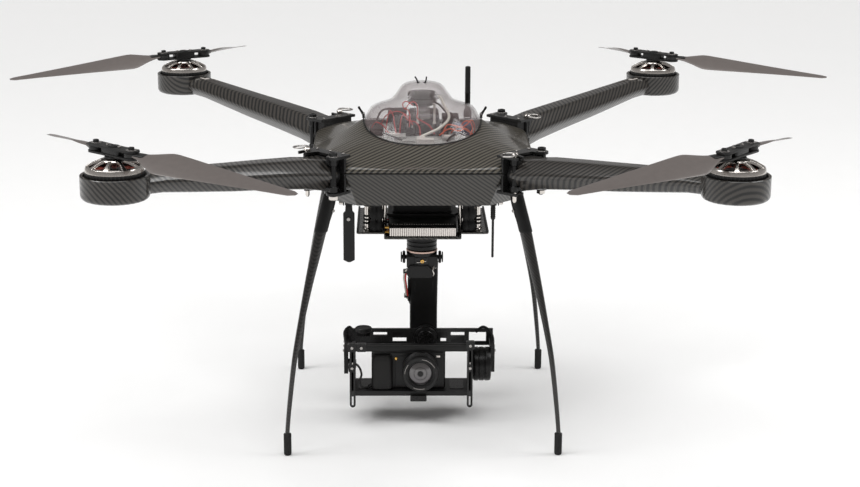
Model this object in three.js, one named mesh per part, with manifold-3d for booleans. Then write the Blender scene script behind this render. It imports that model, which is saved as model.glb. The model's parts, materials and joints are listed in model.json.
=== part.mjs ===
// Folding four-arm camera drone with a three-axis gimbal, in millimetres.
// The origin is the centre of the body's flat underside, +Z is up and the nose points along -Y.
import * as THREE from "three";
import { mergeVertices } from "three/addons/utils/BufferGeometryUtils.js";
import Module from "manifold-3d";

const wasm = await Module();
wasm.setup();

// ---------------------------------------------------------------- driving dimensions
const GAP = 0.3; // clearance between touching pieces
const MOTOR_SPACING = 900; // between the axes of neighbouring motors
const MOTOR_RADIUS = MOTOR_SPACING / Math.SQRT2; // from the body's axis to a motor's axis

const BODY = {
  bottomHalf: 150, // flat underside: half length across opposite sides
  bottomEdge: 107, // half length of one of its four long edges
  bottomZ: 1,
  padRadius: 40, // the mounting pad under the middle, which stands down to Z 0
  waistHalf: 185,
  waistEdge: 126,
  waistZ: 60,
  rimZ: 116, // canopy rim at the sides
  rimFall: 0.22, // how much the rim drops per millimetre towards nose and tail
  wall: 3,
};
const CANOPY = { halfWidth: 98, halfLength: 110, power: 2.3, wall: 2.5 };
const LATCH = { x: 98.8, y: -5, z: 122.5, long: 15, lean: 32 };
const ROOT = { face: 222, inner: 172, half: 42.5, low: 31, high: 85 }; // the box each arm plugs on to
const HINGE = { along: 237, across: 33, pin: 4, lowZ: 16, highZ: 96 };
const LOCK = { along: 235, across: -30, pin: 3.5, lowZ: 14, highZ: 97 };
const LUG = { from: 205, to: 248, half: 11, thick: 5 };
const ARM = { start: ROOT.face + 1, block: 24, lowZ: ROOT.low + GAP, highZ: ROOT.high - GAP };
const POD = { radius: 50.6, lowZ: 82, highZ: 118.5, recess: 46, recessZ: 104.5, round: 8 };
const RIM_Z = 128; // plane of the motor bell's rim
const HUB = { pivot: 41, width: 24, lowZ: 146, plate: 3, bladeZ: 152.75, eye: 11, eyeThick: 6, pin: 3 };
const BLADE = { length: 291, chord: 58, widest: 0.24, tipChord: 17, pitch: 22 };
const FOOT_Z = -402;
const GIMBAL = { rollX: 7.5, rollZ: -283, tiltY: -15, tiltZ: -314, lensX: -3, lensZ: -306 };

// Each corner: where it points, which way its rotor turns, and how its folding blades lie (degrees).
const CORNERS = {
  fl: { angle: -135, turn: 1, hub: -44, blades: [[-33.2, 4.1], [113.8, 7.1]] },
  fr: { angle: -45, turn: -1, hub: -128, blades: [[-145.1, 3.4], [66.8, 8.2]] },
  rr: { angle: 45, turn: 1, hub: -41, blades: [[-11.5, 5.5], [97.3, 6.6]] },
  rl: { angle: 135, turn: -1, hub: -150, blades: [[-159.1, 5.5], [78.9, 6]] },
};

// ---------------------------------------------------------------- materials
const finish = (color, roughness, metalness = 0) =>
  new THREE.MeshStandardMaterial({ color, roughness, metalness });
const MATERIAL = {
  carbon: finish(0x2a2624, 0.35),
  bladeCarbon: finish(0x4a4542, 0.5),
  blackMetal: finish(0x141414, 0.4, 0.8),
  silver: finish(0xc9c4be, 0.25, 1),
  plastic: finish(0x1a1a1a, 0.5),
  rubber: finish(0x161616, 0.9),
  smoke: finish(0x8a7f7c, 0.1),
  copper: finish(0x8c2f1c, 0.5, 0.6),
  board: finish(0x7d807c, 0.6),
};

// ---------------------------------------------------------------- solids
const degrees = THREE.MathUtils.degToRad;

// A three.js geometry as a manifold-3d solid.
function solid(geometry) {
  const bare = geometry.clone();
  bare.deleteAttribute("normal");
  bare.deleteAttribute("uv");
  const merged = mergeVertices(bare, 1e-4);
  const triVerts = new Uint32Array(merged.index.array);
  const vertProperties = merged.attributes.position.array;
  const made = new wasm.Manifold(new wasm.Mesh({ numProp: 3, vertProperties, triVerts }));
  if (made.volume() > 0) return made;
  for (let i = 0; i < triVerts.length; i += 3) {
    [triVerts[i], triVerts[i + 1]] = [triVerts[i + 1], triVerts[i]];
  }
  return new wasm.Manifold(new wasm.Mesh({ numProp: 3, vertProperties, triVerts }));
}

// A manifold-3d solid as a three.js geometry.
function geometryOf(made) {
  const mesh = made.getMesh();
  const geometry = new THREE.BufferGeometry();
  geometry.setAttribute("position", new THREE.BufferAttribute(mesh.vertProperties, 3));
  geometry.setIndex(new THREE.BufferAttribute(mesh.triVerts, 1));
  geometry.computeVertexNormals();
  return geometry;
}

const join = (first, ...others) => others.reduce((sum, other) => sum.add(other), first);
const cut = (first, ...others) => others.reduce((rest, other) => rest.subtract(other), first);

function box([x0, x1], [y0, y1], [z0, z1]) {
  const geometry = new THREE.BoxGeometry(x1 - x0, y1 - y0, z1 - z0);
  geometry.translate((x0 + x1) / 2, (y0 + y1) / 2, (z0 + z1) / 2);
  return solid(geometry);
}

// A round bar along "x", "y" or "z" from one coordinate to another, centred on the other two.
function bar(axis, radius, from, to, [a, b] = [0, 0], sides = 10) {
  const geometry = new THREE.CylinderGeometry(radius, radius, to - from, sides);
  const middle = (from + to) / 2;
  if (axis === "z") geometry.rotateX(Math.PI / 2).translate(a, b, middle);
  if (axis === "x") geometry.rotateZ(Math.PI / 2).translate(middle, a, b);
  if (axis === "y") geometry.translate(a, middle, b);
  return solid(geometry);
}

// A hole along Z for a round pin, wide enough at its flats for the pin to turn.
function bore(pin, [x, y], sides = 10) {
  return bar("z", (pin + GAP) / Math.cos(Math.PI / sides), -60, 160, [x, y], sides);
}

// A turned piece about Z from a profile of [radius, z] points.
function turned(profile, sides = 20) {
  const points = profile.map(([radius, z]) => new THREE.Vector2(radius, z));
  return solid(new THREE.LatheGeometry(points, sides).rotateX(Math.PI / 2));
}

// A flat outline of [x, y] points extruded from z0 to z1.
function plate(outline, z0, z1) {
  const shape = new THREE.Shape(outline.map(([x, y]) => new THREE.Vector2(x, y)));
  const geometry = new THREE.ExtrudeGeometry(shape, { depth: z1 - z0, bevelEnabled: false });
  return solid(geometry.translate(0, 0, z0));
}

// A skin over rings of equally many points, closed at both ends: a cylinder with its points moved.
function loft(rings) {
  const count = rings[0].length;
  const geometry = new THREE.CylinderGeometry(1, 1, rings.length - 1, count, rings.length - 1);
  const position = geometry.attributes.position;
  const middles = rings.map((ring) => {
    const sum = ring.reduce((total, point) => total.add(point), new THREE.Vector3());
    return sum.divideScalar(count);
  });
  for (let i = 0; i < position.count; i++) {
    const [x, y, z] = [position.getX(i), position.getY(i), position.getZ(i)];
    const ring = Math.round(y + (rings.length - 1) / 2);
    const turn = Math.atan2(x, z) / (2 * Math.PI);
    const column = Math.round((turn + 1) * count) % count;
    const point = Math.hypot(x, z) < 0.5 ? middles[ring] : rings[ring][column];
    position.setXYZ(i, point.x, point.y, point.z);
  }
  return solid(geometry);
}

const points = (count, make) => Array.from({ length: count }, (_, i) => make(i));
const vector = (x, y, z) => new THREE.Vector3(x, y, z);
const mix = THREE.MathUtils.lerp;

// ---------------------------------------------------------------- scene graph
const group = new THREE.Group();

function place(name, made, material, parent = group) {
  const mesh = new THREE.Mesh(geometryOf(made), material);
  mesh.name = name;
  parent.add(mesh);
  return mesh;
}

// ---------------------------------------------------------------- body shells
const LONG_STEPS = 3; // points along each long edge of the eight-sided body
const SHORT_STEPS = 2; // points along each corner edge

// The eight-sided outline: long edges face nose, tail and sides, short edges face the arms.
function octagon(half, edge, z) {
  const corners = [
    [half, -edge], [half, edge], [edge, half], [-edge, half],
    [-half, edge], [-half, -edge], [-edge, -half], [edge, -half],
  ];
  return corners.flatMap(([x, y], i) => {
    const [nextX, nextY] = corners[(i + 1) % corners.length];
    const steps = i % 2 === 0 ? LONG_STEPS : SHORT_STEPS;
    return points(steps, (k) => vector(mix(x, nextX, k / steps), mix(y, nextY, k / steps), z));
  });
}

const rimHeight = (y) => BODY.rimZ - BODY.rimFall * Math.abs(y);

// A point of the canopy's rounded-rectangle outline in the direction of (x, y).
function rimPoint(x, y, halfWidth, halfLength) {
  const power = CANOPY.power;
  const size = (Math.abs(x / halfWidth) ** power + Math.abs(y / halfLength) ** power) ** (1 / power);
  return [x / size, y / size];
}

const waist = octagon(BODY.waistHalf, BODY.waistEdge, 0);

// How square-on a point of the waist is to an arm: 1 at the corner edges, 0 mid-way along a side.
function cornerness(x, y) {
  const diagonal = Math.abs(Math.abs(x) - Math.abs(y)) / BODY.waistHalf;
  return 1 - Math.min(1, diagonal);
}

// One ring of the top shell, from the waist (rise 0) to the canopy rim (rise 1).
function topRing(rise, inset, drop) {
  return waist.map(({ x, y }) => {
    const scale = 1 - inset / BODY.waistHalf;
    const [rimX, rimY] = rimPoint(x, y, CANOPY.halfWidth - inset, CANOPY.halfLength - inset);
    const steepness = mix(1, 0.42, cornerness(x, y));
    const z = mix(BODY.waistZ + GAP, rimHeight(rimY), rise ** steepness);
    return vector(mix(x * scale, rimX, rise), mix(y * scale, rimY, rise), z - drop);
  });
}

const RISES = [0, 0.2, 0.6, 1];

function rootBoxes(from, to, half, z0, z1) {
  return Object.values(CORNERS).map(({ angle }) =>
    box([from, to], [-half, half], [z0, z1]).rotate([0, 0, angle]),
  );
}

function lugs(sideOf, z0, z1, slot) {
  return Object.values(CORNERS).map(({ angle }) => {
    const block = box([LUG.from, LUG.to], [sideOf.across - LUG.half, sideOf.across + LUG.half], [z0, z1]);
    const hole = bore(sideOf.pin, [sideOf.along, sideOf.across]);
    const half = sideOf.pin + 1.8;
    const way = box([sideOf.along - half, LUG.to + 1], [sideOf.across - half, sideOf.across + half], [z0 - 1, z1 + 1]);
    return block.subtract(slot ? way : hole).rotate([0, 0, angle]);
  });
}

const topOuter = loft(RISES.map((rise) => topRing(rise, 0, 0)));

function upperShell() {
  const lugZ = [ROOT.high, ROOT.high + LUG.thick];
  const outer = join(
    topOuter,
    ...rootBoxes(ROOT.inner, ROOT.face, ROOT.half, BODY.waistZ + GAP, ROOT.high),
    ...lugs(HINGE, ...lugZ, false),
    ...lugs(LOCK, ...lugZ, true),
  );
  const inner = RISES.map((rise) => topRing(rise, BODY.wall, BODY.wall));
  inner[0].forEach((point) => point.setZ(BODY.waistZ - 1));
  const above = inner.at(-1).map(({ x, y, z }) => vector(x, y, z + 20));
  const hollows = rootBoxes(ROOT.inner - 20, ROOT.face - 3, ROOT.half - 3, BODY.waistZ - 1, ROOT.high - 3);
  return cut(outer, loft([...inner, above]), ...hollows);
}

function lowerShell() {
  const lugZ = [ROOT.low - LUG.thick, ROOT.low];
  const outer = join(
    loft([
      octagon(BODY.bottomHalf, BODY.bottomEdge, BODY.bottomZ),
      octagon(BODY.waistHalf, BODY.waistEdge, BODY.waistZ),
    ]),
    bar("z", BODY.padRadius, 0, BODY.bottomZ + 1, [0, 0], 24),
    ...rootBoxes(ROOT.inner, ROOT.face, ROOT.half, ROOT.low, BODY.waistZ),
    ...lugs(HINGE, ...lugZ, false),
    ...lugs(LOCK, ...lugZ, true),
  );
  const wall = BODY.wall;
  const inner = loft([
    octagon(BODY.bottomHalf - wall, BODY.bottomEdge - wall, BODY.bottomZ + wall),
    octagon(BODY.waistHalf - wall, BODY.waistEdge - wall, BODY.waistZ + 1),
  ]);
  const hollows = rootBoxes(ROOT.inner - 20, ROOT.face - 3, ROOT.half - 3, ROOT.low + 3, BODY.waistZ + 1);
  return cut(outer, inner, ...hollows);
}

place("lower_shell", lowerShell(), MATERIAL.carbon);
place("upper_shell", upperShell(), MATERIAL.carbon);

// ---------------------------------------------------------------- canopy
// Rings of the canopy: half width, half length, height and how level the ring is (0 follows the rim).
const CANOPY_RINGS = [
  [97, 109, 1.2, 0],
  [94, 103, 9, 0],
  [86, 86, 136, 0.75],
  [56, 64, 145, 1],
  [48, 55, 152, 1],
  [38, 45, 167, 1],
  [31, 38, 173, 1],
  [20, 26, 176, 1],
];

const CANOPY_SIDES = 20;

function canopyRing([halfWidth, halfLength, height, level], inset) {
  return points(CANOPY_SIDES, (i) => {
    const angle = (i / CANOPY_SIDES) * 2 * Math.PI;
    const [x, y] = rimPoint(Math.cos(angle), Math.sin(angle), halfWidth - inset, halfLength - inset);
    const follow = rimHeight(y) + (level ? 20 : height);
    return vector(x, y, mix(follow, level ? height : follow, level) - inset);
  });
}

function canopy() {
  const outer = loft(CANOPY_RINGS.map((ring) => canopyRing(ring, 0)));
  const inner = CANOPY_RINGS.map((ring) => canopyRing(ring, CANOPY.wall));
  const below = inner[0].map(({ x, y, z }) => vector(x, y, z - 5));
  return cut(outer, loft([below, ...inner]));
}

place("canopy", canopy(), MATERIAL.smoke);

for (const [name, side] of [["canopy_latch_left", -1], ["canopy_latch_right", 1]]) {
  const lever = join(box([-2, 2], [-4, 4], [0, LATCH.long]), bar("y", 2.6, -5, 5, [0, 0], 10));
  const latch = place(name, lever, MATERIAL.plastic);
  latch.position.set(side * LATCH.x, LATCH.y, LATCH.z);
  latch.rotation.y = side * degrees(LATCH.lean);
}

// ---------------------------------------------------------------- inside the body
const DECK = { z0: 86, z1: 89 };
place("flight_battery", box([-55, 55], [-110, 110], [BODY.bottomZ + BODY.wall + GAP, 58]), MATERIAL.plastic);
place("avionics_deck", cut(
  plate([[-98, -60], [-70, -92], [70, -92], [98, -60], [98, 60], [70, 92], [-70, 92], [-98, 60]], DECK.z0, DECK.z1),
  box([-40, 40], [-20, 15], [DECK.z0 - 1, DECK.z1 + 1]),
), MATERIAL.board);
place("flight_controller", box([-24, 30], [26, 76], [DECK.z1 + GAP, 120]), MATERIAL.plastic);

function gpsMast() {
  const posts = [[-50, -15], [50, -15], [0, 20]].map(([x, y]) => [x * 0.28, y]);
  const legs = posts.map(([x, y]) => bar("z", 2, 110, 144, [x, y], 8));
  const foot = box([-44, 44], [-24, 24], [DECK.z1 + GAP, DECK.z1 + GAP + 3]);
  const riser = box([-16, 16], [-18, 22], [DECK.z1 + GAP, 111]);
  const puck = turned([[0, 143], [23, 143], [25, 145], [25, 159], [23, 161], [0, 161]], 18);
  return join(foot, riser, ...legs, puck);
}
place("gps_mast", gpsMast(), MATERIAL.silver);

// The tall antenna stands on the top shell, so its foot takes the shell's slope.
function telemetryAntenna() {
  const rod = join(bar("z", 4.7, 80, 188, [80, 100]), bar("z", 7, 80, 112, [80, 100]));
  return cut(rod, topOuter.translate([0, 0, 0.5]));
}
place("telemetry_antenna", telemetryAntenna(), MATERIAL.plastic);

// ---------------------------------------------------------------- arms, motors and propellers
// One section of the six-sided arm: distance out, crease height, half width, half flat, half height.
const ARM_SECTIONS = [
  [ARM.start + 4, 58, 39, 20, 25.5],
  [ARM.start + 28, 59, 38.5, 20, 25],
  [ARM.start + 60, 65, 37, 19, 24],
  [430, 81.5, 31, 16, 20.5],
  [560, 97, 27, 14, 16.5],
  [MOTOR_RADIUS, 100.3, 30, 15, 16],
];

function armSection([out, crease, half, flat, tall]) {
  const outline = [
    [half, 0], [flat, tall], [-flat, tall], [-half, 0], [-flat, -tall], [flat, -tall],
  ];
  return outline.map(([across, up]) => vector(out, across, crease + up));
}

const POD_SIDES = 20;

function arm() {
  const { start, block, lowZ, highZ } = ARM;
  const root = plate([
    [start, -41], [start + block, -41], [start + block, 41],
    [HINGE.along - 5, 41], [start, 30],
  ], lowZ, highZ);
  const beam = loft(ARM_SECTIONS.map(armSection));
  const { radius, round } = POD;
  const pod = turned([
    [0, POD.lowZ], [radius - round, POD.lowZ], [radius, POD.lowZ + round],
    [radius, POD.highZ], [0, POD.highZ],
  ], POD_SIDES).translate([MOTOR_RADIUS, 0, 0]);
  const recess = bar("z", POD.recess, POD.recessZ, POD.highZ + 20, [MOTOR_RADIUS, 0], POD_SIDES);
  return cut(
    join(root, beam, pod),
    recess,
    bore(HINGE.pin, [HINGE.along, HINGE.across]),
    bore(LOCK.pin, [LOCK.along, LOCK.across]),
  );
}

function hingeBolt() {
  const { pin, lowZ, highZ, along, across } = HINGE;
  const capZ = ROOT.high + LUG.thick + GAP;
  const nutZ = ROOT.low - LUG.thick - GAP;
  return join(
    bar("z", pin, lowZ, highZ - 2, [along, across]),
    bar("z", 7, capZ, highZ, [along, across]),
    bar("z", 7, lowZ + 2, nutZ, [along, across], 6),
  );
}

function lockPin() {
  const { pin, lowZ, highZ, along, across } = LOCK;
  const capZ = ROOT.high + LUG.thick + GAP;
  const ring = solid(new THREE.TorusGeometry(12, 1.6, 5, 12));
  return join(
    bar("z", pin, lowZ, highZ - 1, [along, across]),
    bar("z", 5.5, capZ, highZ, [along, across]),
    ring.translate([along, across - 15, highZ - 3]),
  );
}

function motorStator() {
  return turned([
    [6, POD.recessZ + GAP], [41, POD.recessZ + GAP], [41, 110], [36, 110],
    [36, 125.5], [6, 125.5], [6, POD.recessZ + GAP],
  ], 16);
}

const SPOKES = 9;

// Outer ring, spoked crown, hub and shaft of a motor's turning half.
function rotorBell() {
  const cup = turned([
    [0, 107], [4, 107], [4, 134], [32, 136.5], [39.5, 126], [39.5, 112.5],
    [43.5, 112.5], [42.5, RIM_Z], [34.5, 140], [0, 143],
  ], 2 * SPOKES);
  const windows = points(SPOKES, (i) => {
    const middle = (i / SPOKES) * 360;
    const window = plate([[17, -4], [41, -10], [41, 10], [17, 4]], RIM_Z + 0.5, 150);
    return window.rotate([0, 0, middle]);
  });
  return cut(cup, ...windows);
}

function propHub() {
  const { pivot, width, lowZ, plate: thick, pin } = HUB;
  const highZ = lowZ + thick + 7.5;
  const end = width / 2;
  const strip = (z) => join(
    box([-pivot, pivot], [-end, end], [z, z + thick]),
    bar("z", end, z, z + thick, [pivot, 0]),
    bar("z", end, z, z + thick, [-pivot, 0]),
  );
  return join(
    strip(lowZ), strip(highZ),
    bar("z", 14, RIM_Z + 15 + GAP, lowZ + 1),
    box([-20, 20], [-9, 9], [lowZ + 1, highZ + 1]),
    ...[-pivot, pivot].map((x) => bar("z", pin, lowZ + 1, highZ + 1, [x, 0])),
    ...[-pivot, pivot].map((x) => bar("z", 5.5, highZ + 1, highZ + thick + 3, [x, 0], 6)),
  );
}

// Chord of a blade at a share of its length.
function chordAt(share) {
  const root = 17;
  if (share < BLADE.widest) {
    const rise = Math.sin((share / BLADE.widest) * (Math.PI / 2)) ** 2;
    return mix(root, BLADE.chord, rise);
  }
  const out = (share - BLADE.widest) / (1 - BLADE.widest);
  return mix(BLADE.chord, BLADE.tipChord, out ** 1.15);
}

// A twisted blade that points along +X from its pivot: a box with its points moved.
function blade(turn, droop) {
  const geometry = new THREE.BoxGeometry(1, 1, 1, 8, 2, 1);
  const position = geometry.attributes.position;
  for (let i = 0; i < position.count; i++) {
    const share = (position.getX(i) + 0.5) ** 1.4; // sections lie closer together near the root
    const side = position.getY(i) * 2; // +1 is the leading edge
    const face = Math.sign(position.getZ(i));
    const out = share * BLADE.length;
    const chord = chordAt(share);
    const twist = degrees(BLADE.pitch) * Math.min(1, share / 0.2) * (1 - 0.65 * share);
    const thick = mix(5.4, 1.6, Math.min(1, share * 1.6)) * (1 - 0.75 * side * side);
    const across = (side - 0.12 * Math.min(1, share / 0.2)) * (chord / 2);
    const up = (face * thick) / 2;
    const sag = Math.max(0, out - HUB.eye) * Math.tan(degrees(droop));
    position.setXYZ(
      i,
      out,
      turn * (across * Math.cos(twist) - up * Math.sin(twist)),
      across * Math.sin(twist) + up * Math.cos(twist) - sag,
    );
  }
  const half = HUB.eyeThick / 2;
  return cut(
    join(solid(geometry), bar("z", HUB.eye, -half, half)),
    bore(HUB.pin, [0, 0]),
  );
}

// ---------------------------------------------------------------- landing legs
// One ring of a curved leg: distance out, height, half depth, half width.
const LEG_RINGS = [
  [212, ROOT.low - GAP, 9, 10],
  [215, 5, 9.5, 10],
  [234, -37, 9.5, 10],
  [248, -79, 8.2, 9],
  [262, -122, 6.6, 7.4],
  [279, -180, 5.2, 5.6],
  [295, -242, 4.4, 4.6],
  [306, -308, 3.9, 4],
  [313, -363, 3.6, 3.6],
  [313, -390.5, 3.6, 3.6],
];

const LEG_SIDES = 8;

function leg() {
  return loft(LEG_RINGS.map(([out, z, deep, wide]) => points(LEG_SIDES, (i) => {
    const angle = (i / LEG_SIDES) * 2 * Math.PI;
    return vector(out + deep * Math.cos(angle), wide * Math.sin(angle), z);
  })));
}

function foot() {
  return turned([
    [0, FOOT_Z], [5, FOOT_Z], [6.4, FOOT_Z + 3], [6.4, -365], [4.3, -365], [4.3, -391], [0, -391],
  ], 10);
}

for (const [corner, { angle, turn, hub, blades }] of Object.entries(CORNERS)) {
  const frame = new THREE.Group();
  frame.rotation.z = degrees(angle);
  group.add(frame);
  place(`arm_${corner}`, arm(), MATERIAL.carbon, frame);
  place(`hinge_bolt_${corner}`, hingeBolt(), MATERIAL.blackMetal, frame);
  place(`lock_pin_${corner}`, lockPin(), MATERIAL.blackMetal, frame);
  place(`leg_${corner}`, leg(), MATERIAL.carbon, frame);
  place(`foot_${corner}`, foot(), MATERIAL.rubber, frame).position.x = LEG_RINGS.at(-1)[0];

  const motor = new THREE.Group();
  motor.position.x = MOTOR_RADIUS;
  motor.rotation.z = degrees(hub - angle); // its X axis runs along the propeller hub
  frame.add(motor);
  place(`motor_stator_${corner}`, motorStator(), MATERIAL.copper, motor);
  place(`rotor_bell_${corner}`, rotorBell(), MATERIAL.silver, motor);
  place(`prop_hub_${corner}`, propHub(), MATERIAL.blackMetal, motor);
  blades.forEach(([direction, droop], i) => {
    const mesh = place(`blade_${corner}_${i + 1}`, blade(turn, droop), MATERIAL.bladeCarbon, motor);
    mesh.position.set(i === 0 ? HUB.pivot : -HUB.pivot, 0, HUB.bladeZ);
    mesh.rotation.z = degrees(direction - hub);
  });
}

// ---------------------------------------------------------------- belly
const TRAY = { half: 64, wing: 110, front: -110, back: 90, wingFront: -88, low: -67, top: -63, wingTop: -59.5 };

function payloadTray() {
  const { half, wing, front, back, wingFront, low, top, wingTop } = TRAY;
  const posts = [[92, 70], [92, -70], [-92, 70], [-92, -70]];
  return cut(
    join(
      box([-half, half], [front, back], [low, top]),
      box([-wing, wing], [wingFront, -wingFront], [top - 0.5, wingTop]),
      ...posts.map(([x, y]) => bar("z", 6, wingTop - 1, BODY.bottomZ - GAP, [x, y], 10)),
    ),
    box([-half + 4, half - 4], [front - 1, -40], [top, 0]),
  );
}

place("payload_tray", payloadTray(), MATERIAL.carbon);
place("video_transmitter", box([-56, 56], [TRAY.front + 1, -50], [TRAY.top + GAP, -44]), MATERIAL.silver);

function paddleAntenna() {
  const outline = [[-9.5, -103], [0, -108], [9.5, -103], [9.5, -24], [6, -20], [-6, -20], [-9.5, -24]];
  const shape = new THREE.Shape(outline.map(([x, z]) => new THREE.Vector2(x, z)));
  const body = new THREE.ExtrudeGeometry(shape, { depth: 8, bevelEnabled: false });
  body.rotateX(Math.PI / 2).translate(0, 4, 0);
  return join(solid(body), box([-5, 5], [-3, 3], [-22, -8]), bar("x", 5, -7, 7, [0, -7]));
}
place("paddle_antenna", paddleAntenna(), MATERIAL.plastic).position.set(-122, -100, 0);

function whipAntenna() {
  return join(bar("z", 2.1, -100, -12), bar("x", 5, -6, 6, [0, -7]), bar("z", 4, -34, -7));
}
place("whip_antenna", whipAntenna(), MATERIAL.plastic).position.set(116, -100, 0);

// ---------------------------------------------------------------- gimbal and camera
function panMotor() {
  return turned([
    [0, -110], [26, -110], [26, -96], [24, -94], [24, -88], [26, -86],
    [26, TRAY.low - GAP], [0, TRAY.low - GAP],
  ], 18);
}

// One level of the slanting arm behind the camera: height, front and back.
const STRUT_LEVELS = [
  [-132, -14, 27],
  [-156, 2, 38],
  [-200, 27, 54],
  [-236, 43, 62],
  [-270, 43, 64],
];

function gimbalArm() {
  const strut = loft(STRUT_LEVELS.map(([z, front, back]) => [
    vector(28, front, z), vector(28, back, z), vector(-20, back, z), vector(-20, front, z),
  ]));
  return join(
    bar("z", 27, -140, -110 - 2 * GAP, [0, 0], 18),
    box([-26, 26], [-24, 22], [-140, -118]),
    box([-26, 17], [-28, -13], [-156, -134]),
    strut,
    bar("y", 22, 43, 70, [GIMBAL.rollX, GIMBAL.rollZ], 18),
    bar("x", 4, -36, 36, [-8, -124], 10),
  );
}

const CAGE = { left: -120, right: 85, front: -76, back: -5, plate: 6 };

function rollFrame() {
  const { rollX, rollZ, tiltY, tiltZ } = GIMBAL;
  const slot = (x0, x1, z0, z1) => box([x0, x1], [30, 50], [z0, z1]);
  const back = cut(
    box([-134, 126], [36, 43 - 2 * GAP], [-297, -267]),
    slot(-84, -60, -279, -273), slot(-50, -26, -291, -283),
    slot(52, 76, -280, -273), slot(34, 44, -292, -284), slot(84, 114, -291, -273),
  );
  return join(
    back,
    bar("y", 21, 28, 37, [rollX, rollZ], 18),
    box([-134, -127], [-27, 40], [-297, -280]),
    box([-134, -127], [-27, -3], [-330, -280]),
    bar("x", 9, -128, -121, [tiltY, tiltZ]),
    box([119, 126], [-30, 40], [-297, -280]),
    box([119, 126], [-30, 0], [-326, -280]),
    bar("x", 29.5, 88.5, 120, [tiltY, tiltZ], 18),
  );
}

function cameraCage() {
  const { left, right, front, back, plate: thick } = CAGE;
  const upright = (x) => cut(
    join(box([x, x + 9.5], [front, front + 6.5], [-368, -258]), bar("y", 4.75, front, front + 6.5, [x + 4.75, -368])),
    box([x + 3.2, x + 6.3], [front - 1, front + 8], [-369, -354]),
  );
  return join(
    upright(left - 3), upright(right - 8),
    box([left, left + thick], [front + 6, back], [-345, -276]),
    box([right - thick, right], [front + 6, back], [-345, -276]),
    box([left, right], [front, front + 11], [-273.5, -260.5]),
    box([left, right], [front, back], [-352, -343.5]),
    box([-20, 8], [front - 6, front + 20], [-360, -350]),
  );
}

function cameraBody() {
  return join(
    box([-86, 40], [-60, -24], [-343.2, -277]),
    box([-86, -50], [-72, -58], [-343.2, -282]),
    bar("z", 5, -278, -275.5, [-66, -48]),
  );
}

function cameraLens() {
  const lens = turned([
    [0, 0], [29, 0], [29, 8], [31, 10], [31, 38], [25, 38], [20, 32], [0, 32],
  ], 20).rotate([90, 0, 0]);
  return lens.translate([GIMBAL.lensX, -60 - GAP, GIMBAL.lensZ]);
}

place("gimbal_pan_motor", panMotor(), MATERIAL.blackMetal);
place("gimbal_arm", gimbalArm(), MATERIAL.blackMetal);
place("roll_frame", rollFrame(), MATERIAL.blackMetal);
place("camera_cage", cameraCage(), MATERIAL.blackMetal);
place("camera_body", cameraBody(), MATERIAL.plastic);
place("camera_lens", cameraLens(), MATERIAL.plastic);

export default group;
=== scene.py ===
"""Looks of the folding four-arm camera drone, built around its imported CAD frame.

Lengths are in millimetres until a shape is added to its piece, and the stage is in metres.
"""

import json
import math

import bmesh
import bpy
from mathutils import Matrix, Vector


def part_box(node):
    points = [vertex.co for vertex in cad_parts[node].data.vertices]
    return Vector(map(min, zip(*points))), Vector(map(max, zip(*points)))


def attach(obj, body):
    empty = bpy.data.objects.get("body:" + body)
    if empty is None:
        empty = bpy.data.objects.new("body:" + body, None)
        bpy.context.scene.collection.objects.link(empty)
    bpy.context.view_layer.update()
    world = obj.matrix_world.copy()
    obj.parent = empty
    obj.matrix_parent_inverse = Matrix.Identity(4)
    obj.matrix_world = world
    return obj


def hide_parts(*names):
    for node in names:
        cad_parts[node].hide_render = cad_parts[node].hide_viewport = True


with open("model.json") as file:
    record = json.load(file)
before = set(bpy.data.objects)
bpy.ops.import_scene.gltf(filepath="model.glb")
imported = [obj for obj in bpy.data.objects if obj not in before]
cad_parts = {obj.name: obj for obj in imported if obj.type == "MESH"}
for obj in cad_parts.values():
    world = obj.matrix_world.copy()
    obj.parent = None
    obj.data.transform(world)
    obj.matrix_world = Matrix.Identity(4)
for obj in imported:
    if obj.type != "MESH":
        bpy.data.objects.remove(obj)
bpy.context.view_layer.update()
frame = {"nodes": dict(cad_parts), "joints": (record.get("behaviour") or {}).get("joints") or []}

MM = 0.001
TAU = 2 * math.pi


# ---------------------------------------------------------------- what the frame says
def span(node):
    """Lowest and highest corner of a CAD node, in millimetres."""
    low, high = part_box(node)
    return low / MM, high / MM


def joint(name):
    """Where a joint's axis passes, in millimetres."""
    found = next(j for j in frame["joints"] if j["name"] == name)
    return Vector(found["pos_m"]) / MM


def tip_of(node, pivot):
    """The far end of a CAD node as seen from a pivot: the middle of its furthest points."""
    points = [v.co / MM for v in frame["nodes"][node].data.vertices]
    reach = max((p - pivot).length for p in points)
    far = [p for p in points if (p - pivot).length > reach - 12]
    return sum(far, Vector()) / len(far)


FLOOR_Z = span("foot_fl")[0].z
CORNERS = ("fl", "fr", "rr", "rl")
TURNS = {"fl": 1, "fr": -1, "rr": 1, "rl": -1}  # which way each propeller turns
MOTORS = {c: joint(f"rotor_spin_{c}") for c in CORNERS}
ARM_LENGTH = MOTORS["fl"].xy.length


# ---------------------------------------------------------------- camera
CAMERA_AT = Vector((-43.8, -3049, 695))
CAMERA_PITCH, CAMERA_YAW, CAMERA_ROLL = (math.radians(a) for a in (14.657, 1.086, 0.275))
CAMERA_LENS = 76.97
VIEW_DEPTH = 60  # metres


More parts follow.
